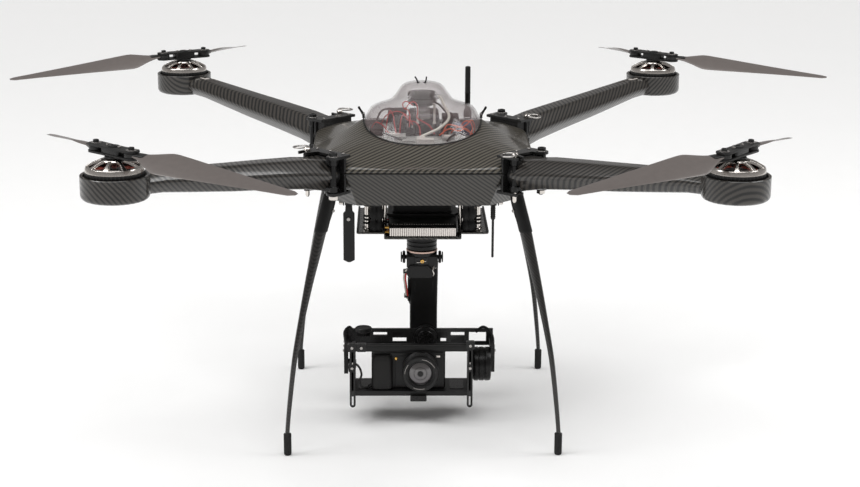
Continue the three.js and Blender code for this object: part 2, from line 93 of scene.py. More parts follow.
def make_camera():
    data = bpy.data.cameras.new("camera")
    data.lens = CAMERA_LENS
    data.sensor_width = 36
    data.clip_end = VIEW_DEPTH
    camera = bpy.data.objects.new("camera", data)
    bpy.context.scene.collection.objects.link(camera)
    level = math.cos(CAMERA_PITCH)
    ahead = Vector((
        math.sin(CAMERA_YAW) * level, math.cos(CAMERA_YAW) * level, -math.sin(CAMERA_PITCH),
    ))
    right = Vector((math.cos(CAMERA_YAW), -math.sin(CAMERA_YAW), 0))
    up = right.cross(ahead)
    lean, rise = math.sin(CAMERA_ROLL), math.cos(CAMERA_ROLL)
    right, up = right * rise + up * lean, up * rise - right * lean
    rotation = Matrix((right, up, -ahead)).transposed().to_4x4()
    camera.matrix_world = Matrix.Translation(CAMERA_AT * MM) @ rotation
    bpy.context.scene.camera = camera


make_camera()


# ---------------------------------------------------------------- materials
def feed(tree, made, values):
    """Fills a node's inputs, from numbers or from other nodes' outputs."""
    for key, value in values:
        if isinstance(value, bpy.types.NodeSocket):
            tree.links.new(value, made.inputs[key])
        else:
            made.inputs[key].default_value = value


def node(tree, kind, values=None, **settings):
    """A new shader node with its inputs filled."""
    made = tree.nodes.new("ShaderNode" + kind)
    for key, value in settings.items():
        setattr(made, key, value)
    feed(tree, made, (values or {}).items())
    return made


def rgb(red, green, blue):
    return (red, green, blue, 1)


def shaded(colour, times, plus=0):
    """A colour made paler or darker."""
    return [min(1, c * times + plus) for c in colour[:3]] + [1]


def shader(name, **values):
    """A material and its principled shader, with plain values on the shader's own inputs."""
    material = bpy.data.materials.new(name)
    material.use_nodes = True
    principled = material.node_tree.nodes["Principled BSDF"]
    names = {
        "colour": "Base Color", "metal": "Metallic", "rough": "Roughness", "coat": "Coat Weight",
        "coat_rough": "Coat Roughness", "alpha": "Alpha", "specular": "Specular IOR Level",
        "sheen": "Sheen Weight", "ior": "IOR",
    }
    for key, value in values.items():
        principled.inputs[names[key]].default_value = value
    return material, principled


def places(tree, stretch=(1, 1, 1)):
    """The point on the object, in millimetres, stretched along its axes."""
    at = node(tree, "TexCoord").outputs["Object"]
    return node(tree, "Mapping", {
        "Vector": at, "Scale": [1000 * s for s in stretch],
    }).outputs["Vector"]


def noise(tree, at, size, detail=4, rough=0.6):
    """Grey noise with features about that many millimetres across."""
    return node(tree, "TexNoise", {
        "Vector": at, "Scale": 1 / size, "Detail": detail, "Roughness": rough,
    }).outputs["Fac"]


def remap(tree, value, low, high, to_low, to_high):
    return node(tree, "MapRange", {
        "Value": value, "From Min": low, "From Max": high, "To Min": to_low, "To Max": to_high,
    }).outputs["Result"]


def blend(tree, share, first, second):
    """A colour between two others."""
    mixed = node(tree, "Mix", data_type="RGBA")
    feed(tree, mixed, ((0, share), (6, first), (7, second)))
    return mixed.outputs[2]


def maths(tree, operation, *values):
    made = node(tree, "Math", operation=operation)
    feed(tree, made, enumerate(values))
    return made.outputs[0]


def emboss(tree, principled, height, depth, strength=0.6):
    """Bump of that many millimetres."""
    bump = node(tree, "Bump", {"Height": height, "Distance": depth * MM, "Strength": strength})
    tree.links.new(bump.outputs["Normal"], principled.inputs["Normal"])


def finish(name, colour, rough, metal=0, size=3, variation=0.2, depth=0.02,
           stretch=(1, 1, 1), wear=0, **more):
    """A worked surface: mottled colour, uneven roughness, fine bump and, with wear, paler edges."""
    material, principled = shader(name, rough=rough, metal=metal, **more)
    tree = material.node_tree
    at = places(tree, stretch)
    broad = noise(tree, at, size * 8, 3)
    fine = noise(tree, at, size, 5)
    share = maths(tree, "MULTIPLY_ADD", broad, 0.6, maths(tree, "MULTIPLY", fine, 0.4))
    mottled = blend(tree, share, shaded(colour, 1 - variation), shaded(colour, 1 + variation))
    if wear:
        edge = node(tree, "NewGeometry").outputs["Pointiness"]
        worn = maths(tree, "MULTIPLY", remap(tree, edge, 0.52, 0.6, 0, wear), fine)
        mottled = blend(tree, worn, mottled, shaded(colour, 4, 0.12))
    tree.links.new(mottled, principled.inputs["Base Color"])
    tree.links.new(remap(
        tree, fine, 0.3, 0.7, rough * 0.82, min(1, rough * 1.18),
    ), principled.inputs["Roughness"])
    emboss(tree, principled, fine, depth)
    return material


def along(tree, at, direction, pitch):
    """How many pitches a point is along a direction."""
    unit = Vector(direction).normalized() / pitch
    return node(tree, "VectorMath", {0: at, 1: unit}, operation="DOT_PRODUCT").outputs["Value"]


def stripes(tree, count, sharp=0.5):
    """A soft square wave from 0 to 1 over each whole count."""
    wave = maths(tree, "SINE", maths(tree, "MULTIPLY", count, TAU))
    return remap(tree, wave, -sharp, sharp, 0, 1)


def carbon(name, rib, cross, pitch, dark, pale, rough=0.33, coat=0.6, mirrored=False):
    """Lacquered carbon twill: diagonal ribs across one direction, broken into tows across another.

    Mirrored cloth runs the same way in front and behind, with its seam at y = 0.
    """
    material, principled = shader(name, coat=coat, coat_rough=0.09, metal=0.1, specular=0.3)
    tree = material.node_tree
    at = places(tree)
    if mirrored:
        parts = node(tree, "SeparateXYZ", {0: at}).outputs
        behind = maths(tree, "MULTIPLY", maths(tree, "ABSOLUTE", parts["Y"]), -1.0)
        at = node(tree, "CombineXYZ", {0: parts["X"], 1: behind, 2: parts["Z"]}).outputs["Vector"]
    waver = maths(tree, "MULTIPLY", noise(tree, at, 45, 2), 0.6)
    rib_count = maths(tree, "ADD", along(tree, at, rib, pitch), waver)
    ribs = stripes(tree, rib_count, 0.75)
    steps = maths(
        tree, "ADD", along(tree, at, cross, pitch * 0.55), maths(tree, "MULTIPLY", rib_count, 0.5),
    )
    tows = stripes(tree, steps, 1.2)
    fibre = noise(tree, node(
        tree, "Mapping", {"Vector": at, "Scale": (3, 3, 0.4)},
    ).outputs["Vector"], 0.9, 2)
    weave = maths(tree, "MULTIPLY", ribs, maths(tree, "MULTIPLY_ADD", tows, 0.35, 0.65))
    shade = maths(tree, "MULTIPLY", weave, maths(tree, "MULTIPLY_ADD", fibre, 0.5, 0.75))
    tree.links.new(blend(tree, shade, dark, pale), principled.inputs["Base Color"])
    tree.links.new(
        remap(tree, shade, 0, 1, rough * 1.25, rough * 0.8), principled.inputs["Roughness"],
    )
    emboss(tree, principled, weave, 0.05, 0.35)
    return material


def clear_canopy():
    """Smoky clear plastic, denser where it is seen edge-on."""
    material, principled = shader(
        "smoked_canopy", colour=rgb(0.3, 0.235, 0.235), rough=0.06, coat=1, coat_rough=0.02,
        specular=0.8,
    )
    tree = material.node_tree
    facing = node(tree, "LayerWeight", {"Blend": 0.35}).outputs["Facing"]
    haze = noise(tree, places(tree), 30, 3)
    cloudy = maths(tree, "MULTIPLY_ADD", haze, 0.05, 0.04)
    tree.links.new(maths(tree, "MULTIPLY_ADD", facing, 0.4, cloudy), principled.inputs["Alpha"])
    tree.links.new(remap(tree, haze, 0.3, 0.7, 0.04, 0.1), principled.inputs["Roughness"])
    return material


def striped(name, first, second, direction, pitch, rough, metal, depth=0.2, sharp=0.4):
    """Two colours in parallel bands, such as cooling slots or a braid."""
    material, principled = shader(name, metal=metal)
    tree = material.node_tree
    at = places(tree)
    band = stripes(tree, along(tree, at, direction, pitch), sharp)
    fine = noise(tree, at, 1.5)
    shade = maths(tree, "MULTIPLY", band, maths(tree, "MULTIPLY_ADD", fine, 0.4, 0.8))
    tree.links.new(blend(tree, shade, first, second), principled.inputs["Base Color"])
    tree.links.new(
        remap(tree, fine, 0.3, 0.7, rough * 0.8, rough * 1.2), principled.inputs["Roughness"],
    )
    emboss(tree, principled, band, depth)
    return material


def front_glass(name, colour, rough):
    """Coated front glass: dark, glossy, with a faint painted purple reflection towards its edge."""
    material, principled = shader(name, rough=rough, coat=1, coat_rough=0.02, specular=0.9)
    tree = material.node_tree
    facing = node(tree, "LayerWeight", {"Blend": 0.5}).outputs["Facing"]
    haze = noise(tree, places(tree), 12, 2)
    tint = blend(tree, haze, colour, shaded(colour, 1.5))
    # Painted reflection: the colour turns purple where the glass is seen edge-on, in place of the
    # coating's reflection.
    tree.links.new(blend(tree, facing, tint, rgb(0.2, 0.16, 0.2)), principled.inputs["Base Color"])
    return material


def make_materials():
    dark = rgb(0.004, 0.0036, 0.0033)
    return {
        # The upper shell's pale weave colour is set well above the other carbons' to paint in the
        # light that falls on the top of the body; the weave pattern itself is real.
        "carbon_top_painted_light": carbon(
            "carbon_top_painted_light", (-0.6, 0.5, 0.62), (0.8, 0.1, 0.5), 6.4, dark, rgb(0.15, 0.135, 0.108),
            mirrored=True,
        ),
        "carbon_low": carbon(
            "carbon_low", (0.5, 0.3, 0.8), (0.8, -0.1, -0.4), 4.6, dark, rgb(0.07, 0.063, 0.052),
            mirrored=True,
        ),
        "carbon_arm": carbon(
            "carbon_arm", (-0.6, 0.35, 0.6), (0.6, 0.7, 0.2), 6, dark, rgb(0.065, 0.058, 0.051),
        ),
        "carbon_leg": carbon(
            "carbon_leg", (0.5, 0.5, 0.7), (0.5, -0.5, 0.4), 3.6, dark, rgb(0.03, 0.027, 0.025),
        ),
        "blade": finish(
            "blade_carbon", rgb(0.125, 0.108, 0.1), 0.45, 0.1, 1.2, 0.22, 0.03, coat=0.15,
        ),
        "black": finish(
            "black_alloy", rgb(0.005, 0.0048, 0.0048), 0.3, 0.3, 1.5, 0.25, 0.015, wear=0.5,
            specular=0.35,
        ),
        "satin": finish(
            "satin_black", rgb(0.006, 0.0058, 0.0056), 0.42, 0.1, 1.5, 0.2, 0.02, wear=0.3,
            specular=0.3,
        ),
        "silver": finish("silver_alloy", rgb(0.68, 0.64, 0.6), 0.2, 1, 1, 0.08, 0.006, (1, 1, 6)),
        "steel": finish("steel_screws", rgb(0.5, 0.48, 0.46), 0.28, 1, 0.6, 0.12, 0.006),
        "plastic": finish(
            "black_plastic", rgb(0.006, 0.0057, 0.0057), 0.45, 0, 1.8, 0.14, 0.02, specular=0.35,
        ),
        "rubber": finish("boot_rubber", rgb(0.008, 0.0077, 0.0075), 0.82, 0, 1.5, 0.3, 0.05),
        "copper": finish("windings", rgb(0.2, 0.035, 0.02), 0.42, 0.5, 0.7, 0.35, 0.08, (1, 1, 5)),
        "canopy": clear_canopy(),
        "deck": finish("deck_grey", rgb(0.34, 0.34, 0.325), 0.5, 0.1, 2, 0.2, 0.03),
        "battery": finish("battery_wrap", rgb(0.03, 0.032, 0.045), 0.32, 0, 5, 0.25, 0.15),
        "camera": finish(
            "camera_black", rgb(0.006, 0.0057, 0.0056), 0.42, 0, 1, 0.15, 0.02, specular=0.35,
        ),
        "grip": finish(
            "grip_leather", rgb(0.009, 0.0085, 0.0082), 0.6, 0, 1.2, 0.3, 0.18, specular=0.35,
        ),
        "lens": finish(
            "lens_black", rgb(0.006, 0.0057, 0.0057), 0.38, 0.3, 0.7, 0.15, 0.015, wear=0.3,
        ),
        "glass": front_glass("lens_glass", rgb(0.05, 0.045, 0.044), 0.14),
        "pale": finish("pale_plastic", rgb(0.62, 0.58, 0.55), 0.45, 0, 1.5, 0.08, 0.02),
        "brushed": finish(
            "brushed_puck", rgb(0.14, 0.14, 0.135), 0.26, 0.85, 1, 0.3, 0.01, (1, 1, 12),
        ),
        "fins": striped(
            "transmitter_fins", rgb(0.3, 0.27, 0.26), rgb(0.72, 0.67, 0.66), (1, 0, 0), 3.6, 0.36,
            0.6, 0.1,
        ),
        "red": finish("red_wire", rgb(0.5, 0.02, 0.018), 0.4, 0, 1, 0.2, 0.02),
        "orange": finish("orange_wire", rgb(0.75, 0.13, 0.06), 0.42, 0, 1, 0.2, 0.02),
        "blue": finish("blue_dark", rgb(0.03, 0.04, 0.1), 0.4, 0, 1, 0.2, 0.02),
        "braid": striped(
            "white_braid", rgb(0.45, 0.42, 0.37), rgb(0.85, 0.82, 0.75), (0.6, 0, 1), 2.2, 0.5, 0,
            0.3,
        ),
        "gold": finish("gold_plug", rgb(0.75, 0.45, 0.12), 0.25, 1, 0.6, 0.1, 0.01),
        "bronze": finish("bronze_ring", rgb(0.55, 0.4, 0.34), 0.28, 1, 0.6, 0.1, 0.01),
    }


M = make_materials()


# ---------------------------------------------------------------- shapes
# A shape is a pair: a list of points in millimetres and a list of faces.
def rings(loops, closed_ends=True, wraps=False):
    """A skin over loops of equally many points; wraps joins the last loop to the first."""
    count = len(loops[0])
    points = [Vector(p) for loop in loops for p in loop]
    faces = []
    for row in range(len(loops) - (0 if wraps else 1)):
        here, there = row * count, (row + 1) % len(loops) * count
        for i in range(count):
            j = (i + 1) % count
            faces.append((here + i, here + j, there + j, there + i))
    if closed_ends and not wraps:
        faces.append(tuple(range(count)))
        faces.append(tuple(range(len(points) - count, len(points))))
    return points, faces


def circle(radius, z=0, sides=48, centre=(0, 0), start=0):
    return [
        Vector((centre[0] + radius * math.cos(start + TAU * i / sides),
                centre[1] + radius * math.sin(start + TAU * i / sides), z))
        for i in range(sides)
    ]


def turned(profile, sides=48, centre=(0, 0), hollow=False):
    """A turned piece about Z from (radius, height) pairs; hollow closes the profile on itself."""
    tiny = 1e-3
    loops = [circle(max(radius, tiny), z, sides, centre) for radius, z in profile]
    return rings(loops, wraps=hollow)


def disc(radius, z0, z1, sides=48, centre=(0, 0)):
    """A plain round piece from one height to another."""
    return turned([(0, z0), (radius, z0), (radius, z1), (0, z1)], sides, centre)


def barrel(radius, half, chamfer, shoulder):
    """A pin's round head, as long each way from z = 0, with chamfered ends."""
    inside, end = radius - chamfer, half - shoulder
    return turned([
        (0, -half), (inside, -half), (radius, -end), (radius, end), (inside, half), (0, half),
    ], 28)


def arc(radius, degrees, centre=(0, 0)):
    """Points on a circle at those angles."""
    angles = (math.radians(d) for d in degrees)
    return [(centre[0] + radius * math.cos(a), centre[1] + radius * math.sin(a)) for a in angles]


def oval(half_x, half_y, sides):
    """Points around an ellipse about the origin."""
    angles = (TAU * k / sides for k in range(sides))
    return [(half_x * math.cos(a), half_y * math.sin(a)) for a in angles]


def along_x(outline, xs):
    """An outline of (y, z) points, standing across X at each of those places."""
    return rings([[(x, y, z) for y, z in outline] for x in xs])


def along_y(outline, ys):
    """An outline of (x, z) points, standing across Y at each of those places."""
    return rings([[(x, y, z) for x, z in outline] for y in ys])


def block(low, high):
    """A box between two corners."""
    (x0, y0, z0), (x1, y1, z1) = low, high
    return prism([(x0, y0), (x1, y0), (x1, y1), (x0, y1)], z0, z1)


def prism(outline, z0, z1):
    """A flat outline of (x, y) points, from one height to another."""
    return rings([[(x, y, z0) for x, y in outline], [(x, y, z1) for x, y in outline]])


def rounded(x0, x1, y0, y1, radius, steps=5):
    """The outline of a rectangle with round corners."""
    corners = ((x1 - radius, y1 - radius, 0), (x0 + radius, y1 - radius, 1),
               (x0 + radius, y0 + radius, 2), (x1 - radius, y0 + radius, 3))
    return [(
        x + radius * math.cos((quarter + k / steps) * TAU / 4),
        y + radius * math.sin((quarter + k / steps) * TAU / 4),
    ) for x, y, quarter in corners for k in range(steps + 1)]


def tiered(x0, x1, y0, y1, radius, tiers):
    """A rounded box whose sides step inwards: each tier is an inset and a height."""
    return rings([
        [(x, y, z) for x, y in rounded(x0 + i, x1 - i, y0 + i, y1 - i, radius)] for i, z in tiers
    ])


def smooth_path(points, steps=8):
    """A smooth curve through a few chosen points."""
    ends = [points[0] * 2 - points[1], *points, points[-1] * 2 - points[-2]]
    path = []
    for i in range(1, len(ends) - 2):
        a, b, c, d = ends[i - 1:i + 3]
        for k in range(steps):
            t = k / steps
            path.append(0.5 * (2 * b + (c - a) * t + (2 * a - 5 * b + 4 * c - d) * t ** 2
                               + (3 * b - a - 3 * c + d) * t ** 3))
    return [*path, points[-1]]


def wire(points, radius, sides=10, steps=8):
    """A round wire or tube along a smooth curve."""
    path = smooth_path([Vector(p) for p in points], steps)
    loops, side = [], None
    for i, at in enumerate(path):
        ahead = (path[min(i + 1, len(path) - 1)] - path[max(i - 1, 0)]).normalized()
        side = side or ahead.orthogonal()
        side = (side - ahead * side.dot(ahead)).normalized()
        up = ahead.cross(side)
        loops.append([at + (side * math.cos(a) + up * math.sin(a)) * radius
                      for a in (TAU * k / sides for k in range(sides))])
    return rings(loops)


def moved(shape, matrix):
    """The same shape, turned or shifted."""
    points, faces = shape
    return [matrix @ Vector(p) for p in points], faces


def shift(x, y, z):
    return Matrix.Translation((x, y, z))


def spin(degrees, axis="Z"):
    return Matrix.Rotation(math.radians(degrees), 4, axis)


# Turn a shape made about Z so that it lies along X or Y instead, either way round.
TO_X, TO_Y = spin(90, "Y"), spin(-90, "X")
TO_LEFT, TO_FRONT = spin(-90, "Y"), TO_Y @ spin(180, "X")


SAME_POINT = 2e-6  # metres: nearer points than this are merged
SMALL_HEAD = [(0, 0), (2.4, 0), (2.4, 1.6), (1.4, 2), (0, 1)]


class Piece:
    """One visible piece, gathered from shapes that each have their own material."""

    def __init__(self, name, body, place=None):
        self.name = name
        self.body = body
        self.place = place or Matrix.Identity(4)
        self.mesh = bmesh.new()
        self.materials = []

    def add(self, shape, material, *turns):
        for turn in reversed(turns):
            shape = moved(shape, turn)
        points, faces = shape
        if M[material] not in self.materials:
            self.materials.append(M[material])
        index = self.materials.index(M[material])
        verts = [self.mesh.verts.new(Vector(p) * MM) for p in points]
        for face in faces:
            self.mesh.faces.new([verts[i] for i in face]).material_index = index
        return self

    def screw(self, at, radius=3, material="steel", toward=None):
        """A socket screw's head standing on a surface."""
        tall = radius * 0.9
        head = turned([
            (0, 0), (radius, 0), (radius, tall * 0.85), (radius * 0.86, tall),
            (radius * 0.5, tall), (radius * 0.5, tall * 0.45), (0, tall * 0.4),
        ], 20)
        return self.add(head, material, shift(*at), toward or Matrix.Identity(4))

    def done(self, bevel=0.0, replaces=(), segments=2, corner=32, smooth=0):
        """Makes the object; bevel rounds its edges by that many millimetres."""
        bmesh.ops.remove_doubles(self.mesh, verts=self.mesh.verts, dist=SAME_POINT)
        bmesh.ops.recalc_face_normals(self.mesh, faces=self.mesh.faces)
        data = bpy.data.meshes.new(self.name)
        self.mesh.to_mesh(data)
        self.mesh.free()
        for material in self.materials:
            data.materials.append(material)
        data.shade_smooth()
        data.set_sharp_from_angle(angle=math.radians(corner))
        made = bpy.data.objects.new(self.name, data)
        bpy.context.scene.collection.objects.link(made)
        place = self.place.copy()
        place.translation = place.translation * MM
        made.matrix_world = place
        if bevel:
            modifier = made.modifiers.new("edges", "BEVEL")
            modifier.width = bevel * MM
            modifier.segments = segments
            modifier.limit_method = "ANGLE"
            modifier.angle_limit = math.radians(corner)
            modifier.harden_normals = True
        if smooth:
            modifier = made.modifiers.new("smooth", "SUBSURF")
            modifier.levels = modifier.render_levels = smooth
        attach(made, self.body)
        if replaces:
            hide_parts(*replaces)
        return made


# ---------------------------------------------------------------- stage
ROOM_LIGHT, BACKDROP_LIGHT, CEILING_LIGHT = 0.4, 0.92, 2.3
SOFTBOX_SIZE, SOFTBOX_POWER = 1.1, 26
FLOOR_RADIUS = 14  # metres


def make_stage():
    floor_material = finish("floor_paper", rgb(0.94, 0.94, 0.935), 0.8, 0, 40, 0.01, 0.02)
    bpy.ops.mesh.primitive_circle_add(
        vertices=96, radius=FLOOR_RADIUS, fill_type="NGON", location=(0, 0, (FLOOR_Z - 0.2) * MM),
    )
    floor = bpy.context.object
    floor.name = "floor"
    floor.data.materials.append(floor_material)
    world = bpy.data.worlds.new("studio")
    world.use_nodes = True
    tree = world.node_tree
    background = tree.nodes["Background"]
    height = node(
        tree, "SeparateXYZ", {0: node(tree, "TexCoord").outputs["Generated"]},
    ).outputs["Z"]
    room = remap(tree, height, -0.1, 0.7, ROOM_LIGHT, ROOM_LIGHT * 0.4)
    seen = node(tree, "LightPath").outputs["Is Camera Ray"]
    tree.links.new(maths(
        tree, "MAXIMUM", room, maths(tree, "MULTIPLY", seen, BACKDROP_LIGHT),
    ), background.inputs["Strength"])
    background.inputs["Color"].default_value = rgb(1, 0.98, 0.97)
    bpy.context.scene.world = world
    sun = bpy.data.lights.new("ceiling", "SUN")
    sun.energy = CEILING_LIGHT
    sun.angle = math.radians(60)
    ceiling = bpy.data.objects.new("ceiling", sun)
    bpy.context.scene.collection.objects.link(ceiling)
    ceiling.rotation_euler = (math.radians(12), math.radians(-8), 0)
    for name, place in (("left_softbox", (-2.2, -0.6, 2.2)), ("right_softbox", (2.2, -0.2, 2.2))):
        light = bpy.data.lights.new(name, "AREA")
        light.size = SOFTBOX_SIZE
        light.energy = SOFTBOX_POWER
        lamp = bpy.data.objects.new(name, light)
        bpy.context.scene.collection.objects.link(lamp)
        lamp.location = place
        lamp.rotation_euler = (-Vector(place)).to_track_quat("-Z", "Y").to_euler()
    bpy.context.scene.view_settings.view_transform = "Standard"


make_stage()

# ---------------------------------------------------------------- body shells
ROOT_FACE = 222  # how far out the body's flat end faces for the arms are
ROOT_HALF, ROOT_LOW, ROOT_HIGH = 42.5, 31, 85
WAIST_HALF, WAIST_EDGE, WAIST_Z = 185, 126, 60
BOTTOM_HALF, BOTTOM_EDGE = 150, 107
# The canopy's rim: its height, its fall for each millimetre fore or aft, and how square it is.
RIM_Z, RIM_FALL, RIM_POWER = 116, 0.22, 2.3
RIM_WIDE, RIM_LONG = 98, 110
CORNER_STEEPNESS = 0.42  # below 1, the shell rises early towards the arms' corners
WAIST_LIFT, WAIST_LIFT_POWER = 7, 6  # the skin steps up at the waist, then eases into the slope
WALL = 3
LONG_STEPS, SHORT_STEPS, RISE_STEPS = 16, 9, 14
HINGE_AT, LOCK_AT = (237, 33), (235, -30)
PLATE_THICK = 5.3  # from an arm's root to where its bolts' heads stand


def octagon(half, edge, z):
    """The body's outline: long edges face nose, tail and sides, short edges face the arms."""
    corners = [(half, -edge), (half, edge), (edge, half), (-edge, half),
               (-half, edge), (-half, -edge), (-edge, -half), (edge, -half)]
    outline = []
    for i, corner in enumerate(corners):
        a, b = Vector(corner), Vector(corners[(i + 1) % 8])
        steps = SHORT_STEPS if i % 2 else LONG_STEPS
        outline += [Vector((*a.lerp(b, k / steps), z)) for k in range(steps)]
    return outline


def rim_height(y):
    """The rim falls towards the nose and the tail."""
    return RIM_Z - RIM_FALL * abs(y)


def rim_point(x, y, wide, long):
    """The point of the canopy's rounded outline in the direction of (x, y)."""
    size = (abs(x / wide) ** RIM_POWER + abs(y / long) ** RIM_POWER) ** (1 / RIM_POWER)
    return x / size, y / size


def top_ring(rise, inset, drop=0):
    """One ring of the top shell, from the waist (rise 0) to the canopy rim (rise 1)."""
    loop = []
    for x, y, _ in octagon(WAIST_HALF, WAIST_EDGE, 0):
        scale = 1 - inset / WAIST_HALF
        rim_x, rim_y = rim_point(x, y, RIM_WIDE - inset, RIM_LONG - inset)
        squareness = 1 - min(1, abs(abs(x) - abs(y)) / WAIST_HALF)
        steepness = 1 + (CORNER_STEEPNESS - 1) * squareness
        z = WAIST_Z + 0.3 + (rim_height(rim_y) - WAIST_Z - 0.3) * rise ** steepness
        loop.append(Vector((
            x * scale + (rim_x - x * scale) * rise, y * scale + (rim_y - y * scale) * rise,
            z - drop,
        )))
    return loop


def hollow_skin(outer, inner):
    """A closed wall between two skins."""
    return rings([*outer, *reversed(inner)], wraps=True)


def corner_turn(corner):
    """The turn that takes +X to where an arm points."""
    return Matrix.Rotation(math.atan2(MOTORS[corner].y, MOTORS[corner].x), 4, "Z")


def plate_with_ears(z0, z1):
    """The black plate over or under an arm's root: a hinge ear, a web and an open fork."""
    lock_x, lock_y = LOCK_AT
    fork = 5.5
    ear = arc(11, range(100, -61, -20), HINGE_AT)
    outline = [
        (206, 41), *ear, (229, 18), (227, -14),
        (246, lock_y + 10), (248, lock_y + fork), (lock_x - fork, lock_y + fork),
        (lock_x - fork, lock_y - fork), (248, lock_y - fork), (246, lock_y - 10), (206, -41),
    ]
    return prism(outline, z0, z1)


def root_collar(z0, z1):
    """The black block inside the shell that each arm's plates are screwed to."""
    return prism([(207, -32), (ROOT_FACE - 3, -37), (ROOT_FACE - 3, 37), (207, 32)], z0, z1)


def root_rim(z0, z1):
    """The flat black face around an arm's root."""
    return along_x(
        rounded(-ROOT_HALF - 1, ROOT_HALF + 1, z0, z1, 4), (ROOT_FACE - 3.5, ROOT_FACE - 0.2),
    )


def upper_shell():
    """The top half of the body, and the black fittings where each arm meets it."""
    piece = Piece("upper_shell_skin", "airframe")
    rises = [k / RISE_STEPS for k in range(RISE_STEPS + 1)]
    outer = [top_ring(0, 0), *[top_ring(
        max(r, 0.004), 0, -WAIST_LIFT * (1 - r) ** WAIST_LIFT_POWER,
    ) for r in rises]]
    inner = [top_ring(0, WALL), *[top_ring(r, WALL, WALL) for r in rises]]
    piece.add(hollow_skin(outer, inner), "carbon_top_painted_light")
    piece.done(0, ["upper_shell"], corner=70, smooth=1)
    fittings = Piece("upper_shell_fittings", "airframe")
    for corner in CORNERS:
        turn = corner_turn(corner)
        fittings.add(root_collar(WAIST_Z + 0.3, ROOT_HIGH), "black", turn)
        fittings.add(plate_with_ears(ROOT_HIGH, ROOT_HIGH + 4.6), "black", turn)
        fittings.add(root_rim(WAIST_Z + 0.5, ROOT_HIGH + 1), "black", turn)
        for y in (30, -30, 0):
            head = turned([(0, 0), (2.6, 0), (2.6, 1.8), (1.5, 2.2), (0, 1.2)], 16)
            fittings.add(head, "steel", turn @ shift(212, y, ROOT_HIGH + 4.5))
    fittings.done(0.6)


def lower_shell():
    """The bottom half of the body, with its fittings and the seam around the waist."""
    piece = Piece("lower_shell_skin", "airframe")
    levels = 8
    outer, inner = [], []
    for k in range(levels + 1):
        share = k / levels
        half = BOTTOM_HALF + (WAIST_HALF - BOTTOM_HALF) * share
        edge = BOTTOM_EDGE + (WAIST_EDGE - BOTTOM_EDGE) * share
        outer.append(octagon(half, edge, WAIST_Z * share))
        inner.append(octagon(half - WALL, edge - WALL, max(WALL, WAIST_Z * share)))
    floor = [Vector((x * 0.02, y * 0.02, 0)) for x, y, _ in outer[0]]
    ceiling = [Vector((x * 0.02, y * 0.02, WALL)) for x, y, _ in outer[0]]
    piece.add(rings([floor, *outer, *reversed(inner), ceiling]), "carbon_low")
    for corner in CORNERS:
        turn = corner_turn(corner)
        piece.add(root_collar(ROOT_LOW, WAIST_Z), "carbon_low", turn)
        piece.add(plate_with_ears(ROOT_LOW - 4.6, ROOT_LOW), "black", turn)
        piece.add(root_rim(ROOT_LOW - 1, WAIST_Z - 0.3), "black", turn)
    seam = [octagon(WAIST_HALF + d, WAIST_EDGE + d * 0.7, z) for d, z in
            ((-1, WAIST_Z - 1.2), (0.9, WAIST_Z - 1.2), (0.9, WAIST_Z + 0.2), (-1, WAIST_Z + 0.2))]
    piece.add(rings(seam, wraps=True), "rubber")
    piece.done(0.9, ["lower_shell"], 3, 38)


def canopy_rim():
    """The thin black edge trim that the canopy sits in."""
    piece = Piece("canopy_trim", "airframe")
    loops = []
    for out, up in ((0.4, 0.1), (2.2, 0.1), (2.4, 1.1), (0.8, 1.5)):
        loop = []
        for k in range(96):
            a = TAU * k / 96
            x, y = rim_point(math.cos(a), math.sin(a), RIM_WIDE + out - 0.5, RIM_LONG + out - 0.5)
            loop.append(Vector((x, y, rim_height(y) + up)))
        loops.append(loop)
    piece.add(rings(loops, wraps=True), "rubber")
    piece.done(0)


# ---------------------------------------------------------------- canopy
# Half width, half length, height and how level the ring is (0 follows the rim).
CANOPY_RINGS = (
    (97, 109, 1.6, 0), (95.5, 106, 5, 0), (93, 101, 10, 0), (86, 86, 136, 0.75),
    (70, 74, 140.5, 0.94), (57, 65, 144, 1), (51, 58, 149.5, 1), (46, 53, 156, 1), (41, 48, 163, 1),
    (37, 44, 169, 1), (31, 38, 173.6, 1), (22, 28, 175.8, 1), (10, 13, 176, 1), (2, 3, 176, 1),
)
CANOPY_SIDES = 96
SCOOP_AT, SCOOP_RADIUS, SCOOP_DEPTH = Vector((78, 78)), 34, 12
CANOPY_WALL, LEAST_RISE = 2.2, 0.6


def canopy_ring(ring, inset):
    """One ring of the canopy, with a scoop pressed into one rear corner."""
    half_wide, half_long, height, level = ring
    loop = []
    for k in range(CANOPY_SIDES):
        a = TAU * k / CANOPY_SIDES
        x, y = rim_point(math.cos(a), math.sin(a), half_wide - inset, half_long - inset)
        follow = rim_height(y) + (20 if level else height)
        z = follow + (height - follow) * level - inset
        near = max(0, 1 - (Vector((x, y)) - SCOOP_AT).length / SCOOP_RADIUS)
        dip = SCOOP_DEPTH * near * near * (3 - 2 * near) if level else 0
        loop.append(Vector((x, y, z - dip)))
    return loop


def canopy():
    piece = Piece("canopy_shell", "canopy")
    outer = [canopy_ring(ring, 0) for ring in CANOPY_RINGS]
    inner = [canopy_ring(ring, CANOPY_WALL) for ring in CANOPY_RINGS]
    for loop in outer, inner:
        for point, below in zip(loop[3], loop[2]):
            point.z = max(point.z, below.z + LEAST_RISE)
    piece.add(rings([*reversed(inner), *outer][::-1]), "canopy")
    piece.done(0, ["canopy"], corner=70)


